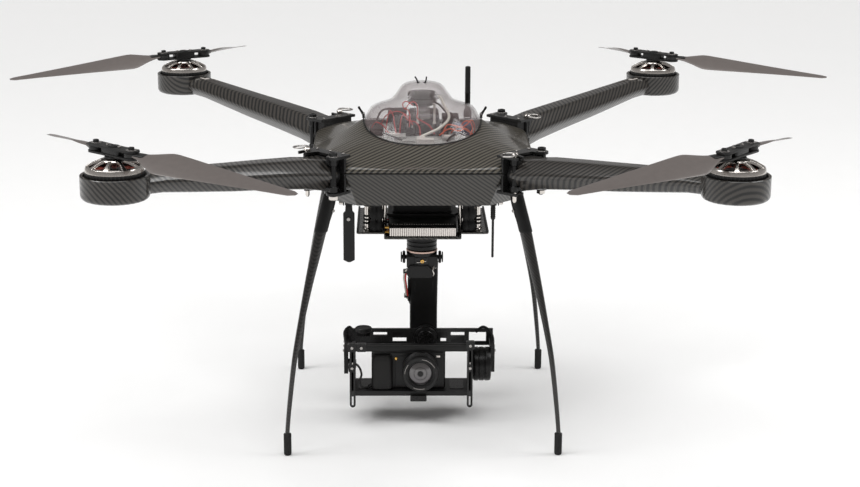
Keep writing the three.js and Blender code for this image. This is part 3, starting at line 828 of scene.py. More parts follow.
def canopy_whiskers():
    """Two short aerials on the dome."""
    whiskers = Piece("canopy_whiskers", "canopy")
    for base, top in (((-7.3, 0, 175.5), (-12.6, 0, 186.4)), ((4.3, 0, 175.5), (6.8, 0, 186.2))):
        base, top = Vector(base), Vector(top)
        whiskers.add(wire([base, base.lerp(top, 0.5) + Vector((0.6, 0, 0)), top], 1.25), "plastic")
        whiskers.add(
            turned([(0, 0), (2.6, 0), (2.2, 1.6), (0, 2)], 16), "rubber",
            shift(*(base + Vector((0, 0, 0.2)))),
        )
    whiskers.done(0)


LATCH_LEAN = 32  # degrees outwards


def latches():
    """The canopy's levers and the brackets that they swing in."""
    for side, name in ((-1, "left"), (1, "right")):
        pivot = joint(f"latch_swing_{name}")
        piece = Piece(f"latch_{name}_lever", f"latch_{name}")
        lean = spin(side * LATCH_LEAN, "Y")
        at = shift(*pivot)
        handle = rings([
            [(x, y, z) for x, y in rounded(-w, w, -d, d, 1.2)]
            for z, w, d in (
                (-1, 2.2, 3.4), (4, 2, 3.2), (10, 1.6, 2.8), (15, 1.9, 3.4), (16.2, 1.2, 2.6),
            )
        ])
        piece.add(handle, "plastic", at, lean)
        piece.add(turned([
            (0, -5), (2.3, -5), (2.6, -4.6), (2.6, 4.6), (2.3, 5), (0, 5),
        ], 20), "steel", at, TO_Y)
        piece.done(0.3, [f"canopy_latch_{name}"])
        tail = Piece(f"latch_{name}_bracket", "airframe")
        for y in (-7.6, 6.2):
            tail.add(block((-1.8, y, -3.4), (1.8, y + 1.4, 2.4)), "black", at)
        tail.add(block((-2.2, -7.6, -4.4), (2.2, 7.6, -3)), "black", at)
        tail.done(0.4)


for make in (upper_shell, lower_shell, canopy_rim, canopy, canopy_whiskers, latches):
    make()


# ---------------------------------------------------------------- arms
# One section of the six-sided arm: distance out, crease height, half width, half flat, half height.
ARM_SECTIONS = (
    (230, 58, 38.5, 20, 25.3), (251, 59, 38.2, 20, 24.9), (283, 65, 37, 19, 24),
    (350, 73, 34, 17.5, 22.3), (430, 81.5, 31, 16, 20.5), (500, 89.8, 28.9, 15, 18.4),
    (560, 97, 27, 14, 16.5), (596, 99.2, 28.6, 14.6, 16.3),
)
POD_RADIUS, POD_LOW, POD_HIGH, POD_FLOOR = 50.6, 82, 118.5, 104.5


def arm_section(out, crease, half, flat, tall):
    """A six-sided section with rounded corners."""
    corners = [(half, 0), (flat, tall), (-flat, tall), (-half, 0), (-flat, -tall), (flat, -tall)]
    loop = []
    for i in range(6):
        before, here, after = (Vector(corners[(i + k) % 6]) for k in (-1, 0, 1))
        radius = 5 if i % 3 else 8  # the creases at the sides are rounder
        start = here + (before - here).normalized() * radius
        end = here + (after - here).normalized() * radius
        for k in range(5):
            t = k / 4
            point = start * (1 - t) ** 2 + here * 2 * t * (1 - t) + end * t * t
            loop.append(Vector((out, point.x, crease + point.y)))
    return loop


def arm_tube(corner):
    """The tapered tube with the round pod that the motor stands in."""
    piece = Piece(f"arm_{corner}_tube", f"arm_{corner}", corner_turn(corner))
    piece.add(rings([arm_section(*s) for s in ARM_SECTIONS]), "carbon_arm")
    pod_at = (ARM_LENGTH, 0)
    wall = [(POD_RADIUS - 8 + 8 * math.sin(a), POD_LOW + 8 - 8 * math.cos(a)) for a in
            (math.radians(d) for d in range(0, 91, 15))]
    pod = [
        (0, POD_LOW), *wall, (POD_RADIUS, 100), (POD_RADIUS, POD_HIGH - 0.8),
        (POD_RADIUS - 0.8, POD_HIGH), (46.6, POD_HIGH), (46, POD_HIGH - 0.6), (46, POD_FLOOR),
        (0, POD_FLOOR),
    ]
    piece.add(turned(pod, 96, pod_at), "carbon_arm")
    piece.done(0, [f"arm_{corner}"], corner=30)


def arm_root(corner):
    """The black end plate with the knuckles that the hinge bolt and lock pin pass through."""
    root = Piece(f"arm_{corner}_root", f"arm_{corner}", corner_turn(corner))
    low, high = ROOT_LOW + 0.4, ROOT_HIGH - 0.4
    middle = (low + high) / 2
    plate = [(y, z) for _, y, z in arm_section(0, middle, 37, 24, (high - low) / 2 - 1)]
    root.add(along_x(plate, (223.2, 230.5)), "black")
    for (x, y), radius in ((HINGE_AT, 7.2), (LOCK_AT, 6.4)):
        knuckle = [(4.3, low), (radius, low), (radius, low + 9), (radius - 1.6, low + 10.5),
                   (radius - 1.6, high - 10.5), (radius, high - 9), (radius, high), (4.3, high)]
        root.add(turned(knuckle, 32, (x, y), hollow=True), "black")
        side = 1 if y > 0 else -1
        for z0, z1 in ((low + 2, low + 8), (high - 8, high - 2)):
            ears = [
                (224, y - side * 14), (224, y), (x - 1, y + side * (radius - 2.5)),
                (x + 6, y - side * 6), (x + 8, y - side * 14),
            ]
            root.add(prism(ears, z0, z1), "black")
    for z in (low + 14, middle, high - 14):
        for y in (-14, 14):
            root.add(turned(SMALL_HEAD, 14), "steel", shift(232.6, y, z), TO_X)
    root.done(0.5)


def arm_light(corner):
    badge = Piece(f"arm_{corner}_light", f"arm_{corner}", corner_turn(corner))
    badge.add(prism(rounded(566, 584, -5, 5, 1.6), 112.6, 114.9), "pale")
    badge.add(prism(rounded(569, 581, -3, 3, 1), 114.8, 115.4), "silver")
    badge.done(0.3)


def hinge_bolt(corner):
    """The bolt that an arm folds about, with a washer and a nut."""
    low, high = ROOT_LOW - PLATE_THICK, ROOT_HIGH + PLATE_THICK
    piece = Piece(f"hinge_bolt_{corner}_body", "airframe", corner_turn(corner))
    x, y = HINGE_AT
    shaft = [
        (0, low - 8), (3, low - 8), (3.9, low - 7), (3.9, high), (6.9, high), (6.9, high + 4.6),
        (6.2, high + 5.4), (3.6, high + 5.4), (3.6, high + 2.4), (0, high + 2.2),
    ]
    piece.add(turned(shaft, 32, HINGE_AT), "black")
    piece.add(turned(
        [(4, 0), (8.6, 0), (8.6, 0.9), (4, 0.9)], 32, hollow=True,
    ), "steel", shift(x, y, high - 0.5))
    piece.add(prism(arc(7.4, range(0, 360, 60), HINGE_AT), low - 6, low - 0.2), "silver")
    piece.done(0.4, [f"hinge_bolt_{corner}"])


def lock_pin(corner):
    """The pull pin that locks an arm open, with its ring."""
    high = ROOT_HIGH + PLATE_THICK
    x, y = LOCK_AT
    piece = Piece(f"lock_pin_{corner}_body", f"lock_pin_{corner}", corner_turn(corner))
    shaft = [
        (0, 14), (1.8, 14), (3.4, 17), (3.4, high), (5.4, high), (5.4, high + 3), (4, high + 5),
        (4, high + 5.6), (0, high + 6.6),
    ]
    piece.add(turned(shaft, 28, LOCK_AT), "silver")
    loops = []
    for k in range(48):
        a = TAU * k / 48
        out = Vector((math.cos(a), math.sin(a), 0))
        loops.append([
            out * (12 + across) + Vector((0, 0, tall))
            for across, tall in oval(1.35, 1.35, 12)
        ])
    piece.add(rings(loops, wraps=True), "steel", shift(x, y - 15, high + 3.7), spin(4, "X"))
    piece.done(0.25, [f"lock_pin_{corner}"])


# ---------------------------------------------------------------- motors
SPOKES, POLES, FLUTES = 9, 18, 48
STATOR_LOW = POD_FLOOR + 0.3


def motor_place(corner):
    return shift(MOTORS[corner].x, MOTORS[corner].y, 0)


def motor_stator(corner):
    """The fixed part of a motor: base, core and windings."""
    stator = Piece(f"motor_{corner}_stator", f"arm_{corner}", motor_place(corner))
    stator.add(turned([
        (5.4, STATOR_LOW), (40.8, STATOR_LOW), (40.8, 109.6), (30, 110), (30, 111), (5.4, 111),
    ], 64, hollow=True), "black")
    stator.add(turned([(5.4, 111), (17, 111), (17, 125.4), (5.4, 125.4)], 48, hollow=True), "satin")
    for k in range(POLES):
        turn = spin(360 * k / POLES)
        coil = rings([
            rounded_loop(x, 3.1 + 0.9 * (x > 20), 118, 5.6 + 1.1 * (x > 20), 2)
            for x in (17.5, 21, 31, 33)
        ])
        stator.add(coil, "copper", turn)
        stator.add(block((33, -5, 112.5), (35.6, 5, 124)), "satin", turn)
    stator.done(0, [f"motor_stator_{corner}"])


def motor_bell(corner):
    """The turning part of a motor: fluted ring, spokes and crown."""
    bell = Piece(f"motor_{corner}_bell", f"rotor_{corner}", motor_place(corner))
    ring = [(39.8, 112.8), (43, 112.8), (43.2, 113.4), (42.9, 124), (39.8, 124)]
    bell.add(turned(ring, 96, hollow=True), "satin")
    for k in range(FLUTES):
        bell.add(
            block((42.6, -0.55, 113.6), (43.45, 0.55, 123.4)), "black", spin(360 * k / FLUTES + 2),
        )
    lip = [
        (39.8, 124), (42.9, 124), (42.4, 128.6), (41, 131), (37.6, 132.4), (37, 131), (39.4, 127.5),
    ]
    bell.add(turned(lip, 96, hollow=True), "silver")
    crown = [
        (0, 107.5), (3.9, 107.5), (3.9, 134), (15, 135.5), (20, 137.6), (20.6, 139.6),
        (19.4, 141.4), (13, 142.9), (0, 142.9),
    ]
    bell.add(turned(crown, 64), "silver")
    for k in range(SPOKES):
        turn = spin(360 * (k + 0.5) / SPOKES)
        sections = [
            (18, 4.2, 137.2, 141.4), (24, 3, 135.8, 139.8), (31, 3, 133, 136.8),
            (38, 4.4, 129.4, 132.9), (40.6, 6, 127.6, 131.2),
        ]
        spoke = rings([[(x, -w, low), (x, w, low), (x, w * 0.7, high), (x, -w * 0.7, high)]
                       for x, w, low, high in sections])
        bell.add(spoke, "silver", turn)
    bell.done(0.35, [f"rotor_bell_{corner}"], corner=34)


def rounded_loop(x, half_wide, middle, half_tall, radius):
    """A rounded rectangle standing across X."""
    return [(x, y, z) for y, z in rounded(
        -half_wide, half_wide, middle - half_tall, middle + half_tall, radius, 3,
    )]


# ---------------------------------------------------------------- propellers
HUB_LOW, HUB_PLATE, HUB_GAP, HUB_HALF = 146, 3, 7.5, 12
BLADE_LENGTH, BLADE_CHORD, BLADE_WIDEST, BLADE_TIP, BLADE_PITCH = 291, 58, 0.24, 17, 22
BLADE_STATIONS, BLADE_AROUND = 40, 24
BLADE_ROOT, ROOT_THICK, TIP_THICK = 17, 5.4, 1.5
TIP_ROUNDING, TIP_LOSS = 0.975, 0.55  # the chord shrinks from here on, by up to that share
SOCKET_LENGTH = 11  # the blade's straight part, before it droops


def dogbone(reach, end, waist):
    """A strap with round ends that narrows towards its middle."""
    half = arc(end, range(-80, 81, 10), (reach, 0))
    half.append((reach * 0.3, waist))
    other = [(-x, y) for x, y in reversed(half)]
    low = [(-reach * 0.3, -waist), (reach * 0.3, -waist)]
    return [*half, *other, *low]


def propeller(corner):
    """The hub's two plates and its bolts, then both blades."""
    at = MOTORS[corner]
    pivots = [joint(f"blade_fold_{corner}_{n}") for n in (1, 2)]
    reach = (pivots[0] - pivots[1]).xy.length / 2
    angle = math.degrees(math.atan2(pivots[0].y - at.y, pivots[0].x - at.x))
    hub = Piece(f"prop_{corner}_hub", f"rotor_{corner}", shift(at.x, at.y, 0) @ spin(angle))
    high = HUB_LOW + HUB_PLATE + HUB_GAP
    for z in (HUB_LOW, high):
        hub.add(prism(dogbone(reach, HUB_HALF, 10.6), z, z + HUB_PLATE), "satin")
    hub.add(turned([
        (0, 143.4), (13.8, 143.4), (13.8, 145), (12, HUB_LOW), (0, HUB_LOW),
    ], 40), "black")
    hub.add(prism(rounded(-20, 20, -9, 9, 4), HUB_LOW + HUB_PLATE, high), "black")
    top = high + HUB_PLATE
    hub.add(turned([
        (0, 0), (8.5, 0), (8, 1.6), (3.4, 2), (3.4, 0.7), (0, 0.6),
    ], 32), "black", shift(0, 0, top))
    for x in (-13.5, 13.5):
        hub.screw((x, 0, top - 0.1), 2.8, "steel")
    for x in (-reach, reach):
        hub.add(disc(2.9, HUB_LOW + HUB_PLATE, high, 24, (x, 0)), "steel")
        hub.add(disc(8, 0, 0.9, 32), "steel", shift(x, 0, top))
        hub.screw((x, 0, top + 0.8), 4.4, "black")
    hub.done(0.35, [f"prop_hub_{corner}"])
    for n, pivot in enumerate(pivots, 1):
        blade(corner, n, pivot)


def blade_chord(share):
    """How wide the blade is at a share of its length."""
    if share < BLADE_WIDEST:
        return BLADE_ROOT + (BLADE_CHORD - BLADE_ROOT) * math.sin(
            share / BLADE_WIDEST * TAU / 4
        ) ** 2
    out = (share - BLADE_WIDEST) / (1 - BLADE_WIDEST)
    chord = BLADE_CHORD + (BLADE_TIP - BLADE_CHORD) * out ** 1.15
    return chord * (1 - TIP_LOSS * max(0, (share - TIP_ROUNDING) / (1 - TIP_ROUNDING)) ** 2)


def blade_section(share, turn, droop):
    """One airfoil section of a blade, at a share of its length."""
    out = share * BLADE_LENGTH
    chord = blade_chord(share)
    twist = math.radians(BLADE_PITCH) * min(1, share / 0.2) * (1 - 0.65 * share)
    thick = ROOT_THICK + (TIP_THICK - ROOT_THICK) * min(1, share * 1.6)
    sweep = -0.12 * min(1, share / 0.2)
    sag = max(0, out - SOCKET_LENGTH) * math.tan(droop)
    loop = []
    for side, face in oval(1, 1, BLADE_AROUND):
        blunt = (1 - side) ** 0.5 * (1 + 0.25 * side)
        height = face * thick / 2 * min(
            1, 0.35 + 0.65 * blunt,
        ) + thick * 0.35 * (1 - side * side) * min(1, share * 4)
        across = (side + sweep) * chord / 2
        loop.append(Vector((
            out,
            turn * (across * math.cos(twist) - height * math.sin(twist)),
            across * math.sin(twist) + height * math.cos(twist) - sag,
        )))
    return loop


def blade(corner, number, pivot):
    """A blade whose place is part of its mesh, so that its bounds stay tight."""
    tip = tip_of(f"blade_{corner}_{number}", pivot)
    heading = math.degrees(math.atan2(tip.y - pivot.y, tip.x - pivot.x))
    droop = math.atan2(pivot.z - tip.z, BLADE_LENGTH - SOCKET_LENGTH)
    place = shift(pivot.x, pivot.y, HUB_LOW + HUB_PLATE + HUB_GAP / 2) @ spin(heading)
    piece = Piece(f"blade_{corner}_{number}_skin", f"blade_{corner}_{number}")
    shares = [0.03 + 0.97 * (k / BLADE_STATIONS) ** 1.25 for k in range(BLADE_STATIONS + 1)]
    piece.add(rings([blade_section(s, TURNS[corner], droop) for s in shares]), "blade", place)
    half = 2.9
    eye = [(3.4, -half), (10.8, -half), (10.8, half), (3.4, half)]
    piece.add(turned(eye, 40, hollow=True), "satin", place)
    socket = [rounded_loop(x, w, 0, t, 1.6) for x, w, t in (
        (7.5, 8.6, 2.9), (14, 9, 2.9), (22, 9.4, 2.6), (26, 8.4, 2.2),
    )]
    piece.add(rings(socket), "satin", place)
    piece.done(0, [f"blade_{corner}_{number}"], corner=50)


# ---------------------------------------------------------------- legs
# One ring of a curved leg: distance out, height, half depth, half width.
LEG_RINGS = (
    (212, 30.6, 9, 10), (213, 18, 9.4, 10), (215, 5, 9.5, 10), (223.5, -16, 9.6, 10),
    (234, -37, 9.5, 10), (248, -79, 8.2, 9), (262, -122, 6.6, 7.4), (279, -180, 5.2, 5.6),
    (295, -242, 4.4, 4.6), (306, -308, 3.9, 4), (313, -363, 3.6, 3.6), (313, -390, 3.6, 3.6),
)


def leg(corner):
    piece = Piece(f"leg_{corner}_tube", "airframe", corner_turn(corner))
    spine = smooth_path([Vector((out, 0, z)) for out, z, _, _ in LEG_RINGS], 4)
    sizes = smooth_path([Vector((deep, wide, 0)) for _, _, deep, wide in LEG_RINGS], 4)
    loops = []
    for at, size in zip(spine, sizes):
        loops.append([(at.x + x, y, at.z) for x, y in oval(size.x, size.y, 28)])
    piece.add(rings(loops), "carbon_leg")
    piece.done(0, [f"leg_{corner}"], corner=50)


def leg_sleeve(corner):
    """The satin sleeve at the bend, and its screws."""
    fittings = Piece(f"leg_{corner}_sleeve", "airframe", corner_turn(corner))
    sleeve = (
        (213, 20, 9.5, 10.1), (213, 20, 10.7, 11.3), (233.2, -35, 10.8, 11.3),
        (234.6, -39, 10.7, 11.2), (234.6, -39, 9.5, 10),
    )
    fittings.add(rings([
        [(out + x, y, z) for x, y in oval(deep, wide, 32)]
        for out, z, deep, wide in sleeve
    ]), "satin")
    fittings.screw((236, 0, -24), 3.2, "steel", spin(62, "Y"))
    for side, toward in ((-1, TO_FRONT), (1, TO_Y)):
        fittings.screw((217, side * 10.4, -6), 2.6, "steel", toward)
    fittings.done(0.3)


def foot(corner):
    boot = Piece(f"foot_{corner}_boot", "airframe", corner_turn(corner))
    x = LEG_RINGS[-1][0]
    profile = [
        (0, FLOOR_Z), (4.6, FLOOR_Z), (5.8, FLOOR_Z + 1.2), (6.3, FLOOR_Z + 3.4), (6.3, -366),
        (5.8, -365.2), (4.2, -365), (4.1, -380), (4.1, -391), (0, -391),
    ]
    boot.add(turned(profile, 36, (x, 0)), "rubber")
    for z in (-372, -376, -380):
        boot.add(turned([
            (6.1, z - 0.6), (6.4, z - 0.3), (6.4, z + 0.3), (6.1, z + 0.6),
        ], 36, (x, 0), True), "rubber")
    boot.done(0.2, [f"foot_{corner}"])


for corner in CORNERS:
    for make in (arm_tube, arm_root, arm_light, hinge_bolt, lock_pin, motor_stator, motor_bell,
                 propeller, leg, leg_sleeve, foot):
        make(corner)


# ---------------------------------------------------------------- under the canopy
DECK_TOP = span("avionics_deck")[1].z


def deck():
    piece = Piece("deck_plates", "airframe")
    low, high = span("avionics_deck")
    for (x0, x1), (y0, y1) in (
        ((-97, 97), (15, 60)), ((-97, 97), (-60, -20)), ((-97, -40), (-20.5, 15.5)),
        ((40, 97), (-20.5, 15.5)), ((-71, 71), (-91.6, -59.5)), ((-71, 71), (59.5, 91.6)),
    ):
        piece.add(prism(rounded(x0, x1, y0, y1, 1.5, 3), low.z, high.z), "deck")
    piece.done(0.5, ["avionics_deck"])


def deck_boards():
    """Circuit boards, connectors and screws on the deck."""
    parts = Piece("deck_boards", "airframe")
    top = DECK_TOP
    for x0, x1, y0, y1, tall, material in (
        (-62, -28, -56, -24, 6, "deck"), (-60, -38, -50, -40, 9.5, "pale"),
        (-88, -66, -20, 18, 12, "plastic"), (32, 66, -62, -30, 5, "deck"),
        (36, 58, -56, -46, 7, "pale"), (56, 84, -16, 24, 16, "blue"),
        (-58, -26, 24, 58, 34, "plastic"), (34, 62, 20, 52, 26, "plastic"),
        (-10, 18, -84, -70, 7, "pale"), (-34, -14, -80, -66, 4, "deck"),
        (46, 64, -80, -68, 3.5, "deck"),
    ):
        parts.add(prism(rounded(x0, x1, y0, y1, 2, 3), top - 0.3, top + tall), material)
    for x, y in (
        (-90, 50), (90, 50), (-90, -50), (90, -50), (-64, -84), (64, -84), (-20, 80), (20, 80),
    ):
        parts.screw((x, y, top), 2.6, "steel")
    for k in range(12):
        parts.add(block((-60 + k * 1.9, -39, top), (-59.2 + k * 1.9, -37.8, top + 3)), "gold")
    parts.done(0.5)


def flight_controller():
    controller = Piece("flight_controller_case", "airframe")
    (x0, y0, z0), (x1, y1, z1) = span("flight_controller")
    tiers = ((0, z0), (0, z0 + 18), (1.2, z0 + 19), (1.2, z1 - 3), (3.5, z1))
    controller.add(tiered(x0, x1, y0, y1, 4, tiers), "plastic")
    for k in range(6):
        controller.add(block(
            (x0 + 6 + 7 * k, y0 - 1.5, z0 + 4), (x0 + 11 + 7 * k, y0 + 1, z0 + 9),
        ), "pale")
    controller.done(0.6, ["flight_controller"])


def battery():
    pack = Piece("battery_case", "airframe")
    (x0, y0, z0), (x1, y1, z1) = span("flight_battery")
    tiers = ((2, z0), (0, z0 + 2), (0, z1 - 2), (2, z1))
    pack.add(tiered(x0, x1, y0, y1, 5, tiers), "battery")
    for y in (-60, 60):
        pack.add(prism(rounded(x0 + 1, x1 - 1, y - 9, y + 9, 1), z1 - 0.5, z1 + 1), "plastic")
    pack.done(0.5, ["flight_battery"])


def gps_mast():
    """The round receiver on its pillars."""
    piece = Piece("gps_puck", "airframe")
    profile = [
        (0, 143.2), (22, 143.2), (24.4, 144.4), (24.8, 146), (24.8, 158.4), (24, 160),
        (22.4, 160.8), (14, 161), (0, 161),
    ]
    piece.add(turned(profile, 72), "brushed")
    piece.add(turned([
        (24.4, 150.6), (25, 151), (25, 152), (24.4, 152.4),
    ], 72, hollow=True), "satin")
    piece.add(turned([(0, 138), (17, 138), (19, 140), (19, 143.4), (0, 143.4)], 48), "satin")
    for x, y in ((-14, -15), (14, -15), (0, 20)):
        piece.add(turned([
            (0, 109), (2.9, 109), (2.9, 112), (1.9, 113), (1.9, 141), (2.9, 142), (2.9, 143.4),
            (0, 143.4),
        ], 20, (x + 6 * (y < 0), y)), "pale")
    box = ((2.5, 92.6), (0, 94), (0, 107), (1.5, 109), (3, 109.4))
    piece.add(tiered(-15, 22, -18, 22, 3, box), "satin")
    piece.add(prism(rounded(-44, 44, -24, 24, 4), DECK_TOP + 0.3, DECK_TOP + 3.6), "satin")
    piece.add(prism(rounded(-9, 13, -16, 6, 1), 117, 134), "brushed")
    for x, y in ((-39, -19), (-39, 19), (39, -19), (39, 19)):
        piece.screw((x, y, DECK_TOP + 3.5), 2.4)
    piece.done(0.4, ["gps_mast"])


def telemetry_antenna():
    (x0, y0, z0), (x1, y1, _) = span("telemetry_antenna")
    x, y = (x0 + x1) / 2, (y0 + y1) / 2
    rod = Piece("telemetry_antenna_rod", "airframe")
    rod.add(turned([
        (0, z0 + 8), (6.9, z0 + 8), (6.9, 110), (5.4, 112), (4.7, 113), (4.7, 140), (5, 140.5),
        (5, 142), (4.7, 142.5), (4.6, 186), (3.8, 187.6), (0, 188),
    ], 32, (x, y)), "plastic")
    for k in range(5):
        rod.add(turned(
            [(6.6, 0), (7, 0.4), (7, 1.2), (6.6, 1.6)], 32, (x, y), True,
        ), "rubber", shift(0, 0, 97 + 2.6 * k))
    rod.done(0.2, ["telemetry_antenna"])


def wire_set(name, radius, sides, material, routes):
    """One piece made of wires that each follow their own route."""
    piece = Piece(name, "airframe")
    for route in routes:
        piece.add(wire(route, radius, sides), material)
    piece.done(0)


def wiring():
    """Loose wires under the canopy, held at both ends."""
    for name, radius, sides, material, routes in (
        ("red_wires", 0.85, 8, "red", (
            (
                (-16, -20, 141), (-27, -20, 148), (-33, -22, 144), (-31, -22, 137), (-24, -22, 133),
                (-21, -24, 124), (-22, -30, 106),
            ),
            (
                (-30, -20, 134), (-20, -21, 146), (-11, -22, 145), (-8, -22, 131), (-9, -24, 121),
                (0, -26, 115), (12, -30, 108), (20, -34, 95),
            ),
            (
                (-62, -24, 94), (-58, -27, 122), (-54, -30, 134), (-49, -32, 126), (-47, -34, 113),
                (-44, -40, 98),
            ),
            (
                (-38, -34, 96), (-36, -31, 119), (-31, -30, 127), (-24, -31, 118), (-12, -32, 115),
                (-5, -34, 106), (-4, -40, 92),
            ),
            ((-86, -10, 100), (-78, -18, 112), (-66, -26, 108), (-58, -30, 98), (-50, -36, 93)),
            (
                (-70, 20, 100), (-62, 6, 118), (-46, -6, 128), (-34, -12, 127), (-24, -16, 121),
                (-16, -22, 108),
            ),
        )),
        ("orange_wires", 1.1, 8, "orange", (
            (
                (34, -24, 93), (41, -22, 108), (55, -22, 107), (67, -22, 103), (76, -22, 98),
                (84, -24, 93),
            ),
            (
                (48, -16, 93), (56, -20, 103), (68, -21, 105), (75, -22, 110), (82, -20, 116),
                (87, -18, 108), (88, -14, 94),
            ),
            (
                (28, -34, 93), (44, -30, 103), (60, -27, 99), (72, -26, 103), (80, -24, 96),
                (86, -22, 90),
            ),
            ((60, -10, 96), (70, -14, 112), (80, -16, 112), (84, -20, 102), (80, -26, 92)),
        )),
    ):
        wire_set(name, radius, sides, material, routes)


def white_cable():
    """The braided cable from the receiver down to the deck."""
    braid = Piece("white_cable", "airframe")
    route = (
        (22, 2, 152), (27, 0, 152.6), (31, -5, 150.5), (37, -15, 138), (44, -25, 126.5),
        (41, -35, 117), (27, -45, 107), (8, -56, 100), (-4, -64, 96),
    )
    braid.add(wire(route, 2.3, 16, 12), "braid")
    braid.add(
        turned([(0, 0), (3.4, 0), (3.4, 6), (2.6, 8), (0, 8)], 24), "satin", shift(22.5, 2, 152),
        TO_X,
    )
    braid.add(prism(rounded(-10, 4, -72, -60, 1.5), DECK_TOP, DECK_TOP + 8), "pale")
    braid.done(0.3)


def black_leads():
    wire_set("black_leads", 1.6, 10, "rubber", (
        (
            (-80, 12, 100), (-70, 26, 122), (-54, 30, 126), (-40, 20, 123), (-30, 6, 116),
            (-20, -2, 112),
        ),
        ((56, 22, 104), (50, 12, 120), (44, 4, 122), (36, -2, 110), (30, -10, 95)),
        ((-84, -26, 92), (-74, -36, 99), (-58, -50, 98), (-44, -62, 94), (-34, -70, 92)),
        ((72, -34, 92), (62, -44, 98), (48, -60, 97), (40, -72, 91)),
        ((10, 20, 138), (26, 26, 136), (40, 26, 122), (52, 20, 112)),
    ))


# ---------------------------------------------------------------- belly
TRAY_LOW = -67
FINS, RIVETS = 31, 26


def tray():
    piece = Piece("payload_tray_plates", "airframe")
    piece.add(prism(rounded(-64, 64, -110, 90, 4), TRAY_LOW, TRAY_LOW + 3.4), "carbon_low")
    piece.add(prism(rounded(-110, 110, -88, 88, 5), -63.5, -60.6), "carbon_low")
    for side in (-1, 1):
        for inside, outside, y0, z0, z1 in (
            (106.5, 110, -88, -61, -57.5), (60.4, 64, -109, TRAY_LOW + 3, -59.6),
        ):
            wall = [
                (side * inside, y0), (side * outside, y0), (side * outside, 88),
                (side * inside, 88),
            ]
            piece.add(prism(wall if side > 0 else wall[::-1], z0, z1), "satin")
    piece.done(0.5, ["payload_tray"])


def tray_standoffs():
    """The posts, dampers and screws that hold the tray."""
    posts = Piece("tray_standoffs", "airframe")
    for x in (-92, 92):
        for y in (-70, 70):
            post = [
                (0, -61), (6, -61), (6, -58), (4.4, -56), (4.4, -4), (6, -2.4), (6, 0.6), (0, 0.6),
            ]
            posts.add(turned(post, 24, (x, y)), "silver")
            for z in (-50, -44, -38, -20, -14, -8):
                posts.add(turned([
                    (4.3, z), (6.6, z + 1), (6.6, z + 3), (4.3, z + 4),
                ], 24, (x, y), True), "rubber")
        for y in (-82, -52, -20, 20, 52, 82):
            posts.screw((x * 1.06, y, -60.7), 2.8, "steel")
        for share in (0.78, 0.88):
            ball = [
                (0, -60.6), (5, -60.6), (7.4, -57), (8, -52), (7, -46.5), (4.5, -43), (4.5, -40),
                (7, -36.5), (8, -31), (7.4, -26), (5, -22), (5, -16), (0, -16),
            ]
            posts.add(turned(ball, 28, (x * share, -78)), "rubber")
    for x in (-74, 74):
        posts.add(prism(rounded(x - 7, x + 7, -88, -70, 2), -16.5, -13), "black")
        posts.add(disc(3.4, -13, 0.8, 20, (x, -79)), "silver")
        posts.add(turned(
            [(2, -60), (4.2, -60), (4.2, -14), (2, -14)], 20, (x * 0.86, -60), True,
        ), "silver")
    posts.done(0.3)


def belly_boards():
    """The electronics box on the tray, and its cables."""
    clutter = Piece("belly_boards", "airframe")
    clutter.add(prism(rounded(-58, 58, -44, 70, 4), -62.5, -40), "satin")
    clutter.add(prism(rounded(-50, 50, -30, 60, 4), -40.5, -22), "plastic")
    for x in (-50, -25, 0, 25, 50):
        clutter.screw((x, 58, -40.2), 2.4)
    for route, radius, sides, material in (
        ((
            (-52, -36, -45), (-66, -52, -36), (-76, -60, -30), (-80, -52, -18), (-74, -40, -6),
        ), 2, 10, "rubber"),
        ((
            (52, -36, -45), (66, -54, -34), (78, -62, -28), (82, -50, -16), (76, -40, -6),
        ), 2, 10, "rubber"),
        (((-48, -34, -48), (-60, -56, -47), (-70, -62, -52), (-66, -48, -56)), 1.2, 8, "red"),
    ):
        clutter.add(wire(route, radius, sides), material)
    clutter.done(0.5)


def transmitter():
    """The transmitter's case with its cooling fins, rivets and jacks."""
    (x0, y0, z0), (x1, y1, z1) = span("video_transmitter")
    piece = Piece("video_transmitter_case", "airframe")
    piece.add(prism(rounded(x0, x1, y0 + 5, y1, 2), z0, z1 - 2.5), "satin")
    for k in range(FINS):
        x = x0 + 2.6 + (x1 - x0 - 5.2) * k / (FINS - 1)
        fin = [(x - 1.15, y0), (x + 1.15, y0), (x + 1.15, y0 + 7), (x - 1.15, y0 + 7)]
        piece.add(prism(fin, z0 + 1, z1 - 4), "silver")
    piece.add(block((x0 + 1.6, y0 + 1.4, z0 + 1), (x1 - 1.6, y0 + 6, z1 - 4)), "fins")
    lid = [(y0 + 1.5, z1 - 4.6), (y1, z1 - 4.6), (y1, z1), (y0 + 14, z1), (y0 + 1.5, z1 - 3.6)]
    piece.add(along_x(lid, (x0, x1)), "satin")
    for k in range(RIVETS):
        x = x0 + 6 + (x1 - x0 - 12) * k / (RIVETS - 1)
        piece.add(
            turned([(0, 0), (1, 0), (0.7, 0.7), (0, 0.8)], 10), "pale", shift(x, y0 + 12, z1 - 0.6),
        )
    for z in (z0 + 4.6, z1 - 6):
        jack = [(0, 0), (3.4, 0), (3.4, 2), (2.4, 2.4), (2.4, 7), (1.6, 7), (1.6, 5), (0, 5)]
        piece.add(turned(jack, 20), "gold", shift(x0 + 0.5, y0 + 14, z), TO_X @ spin(180, "X"))
    piece.add(wire((
        (x0 - 5, y0 + 14, z0 + 4.6), (x0 - 9, y0 + 15, z0 + 6), (x0 - 11, y0 + 24, z0 + 12),
        (x0 - 6, y0 + 40, z0 + 14), (x0 + 2, y0 + 56, z0 + 12),
    ), 1.5), "rubber")
    piece.done(0.25, ["video_transmitter"])


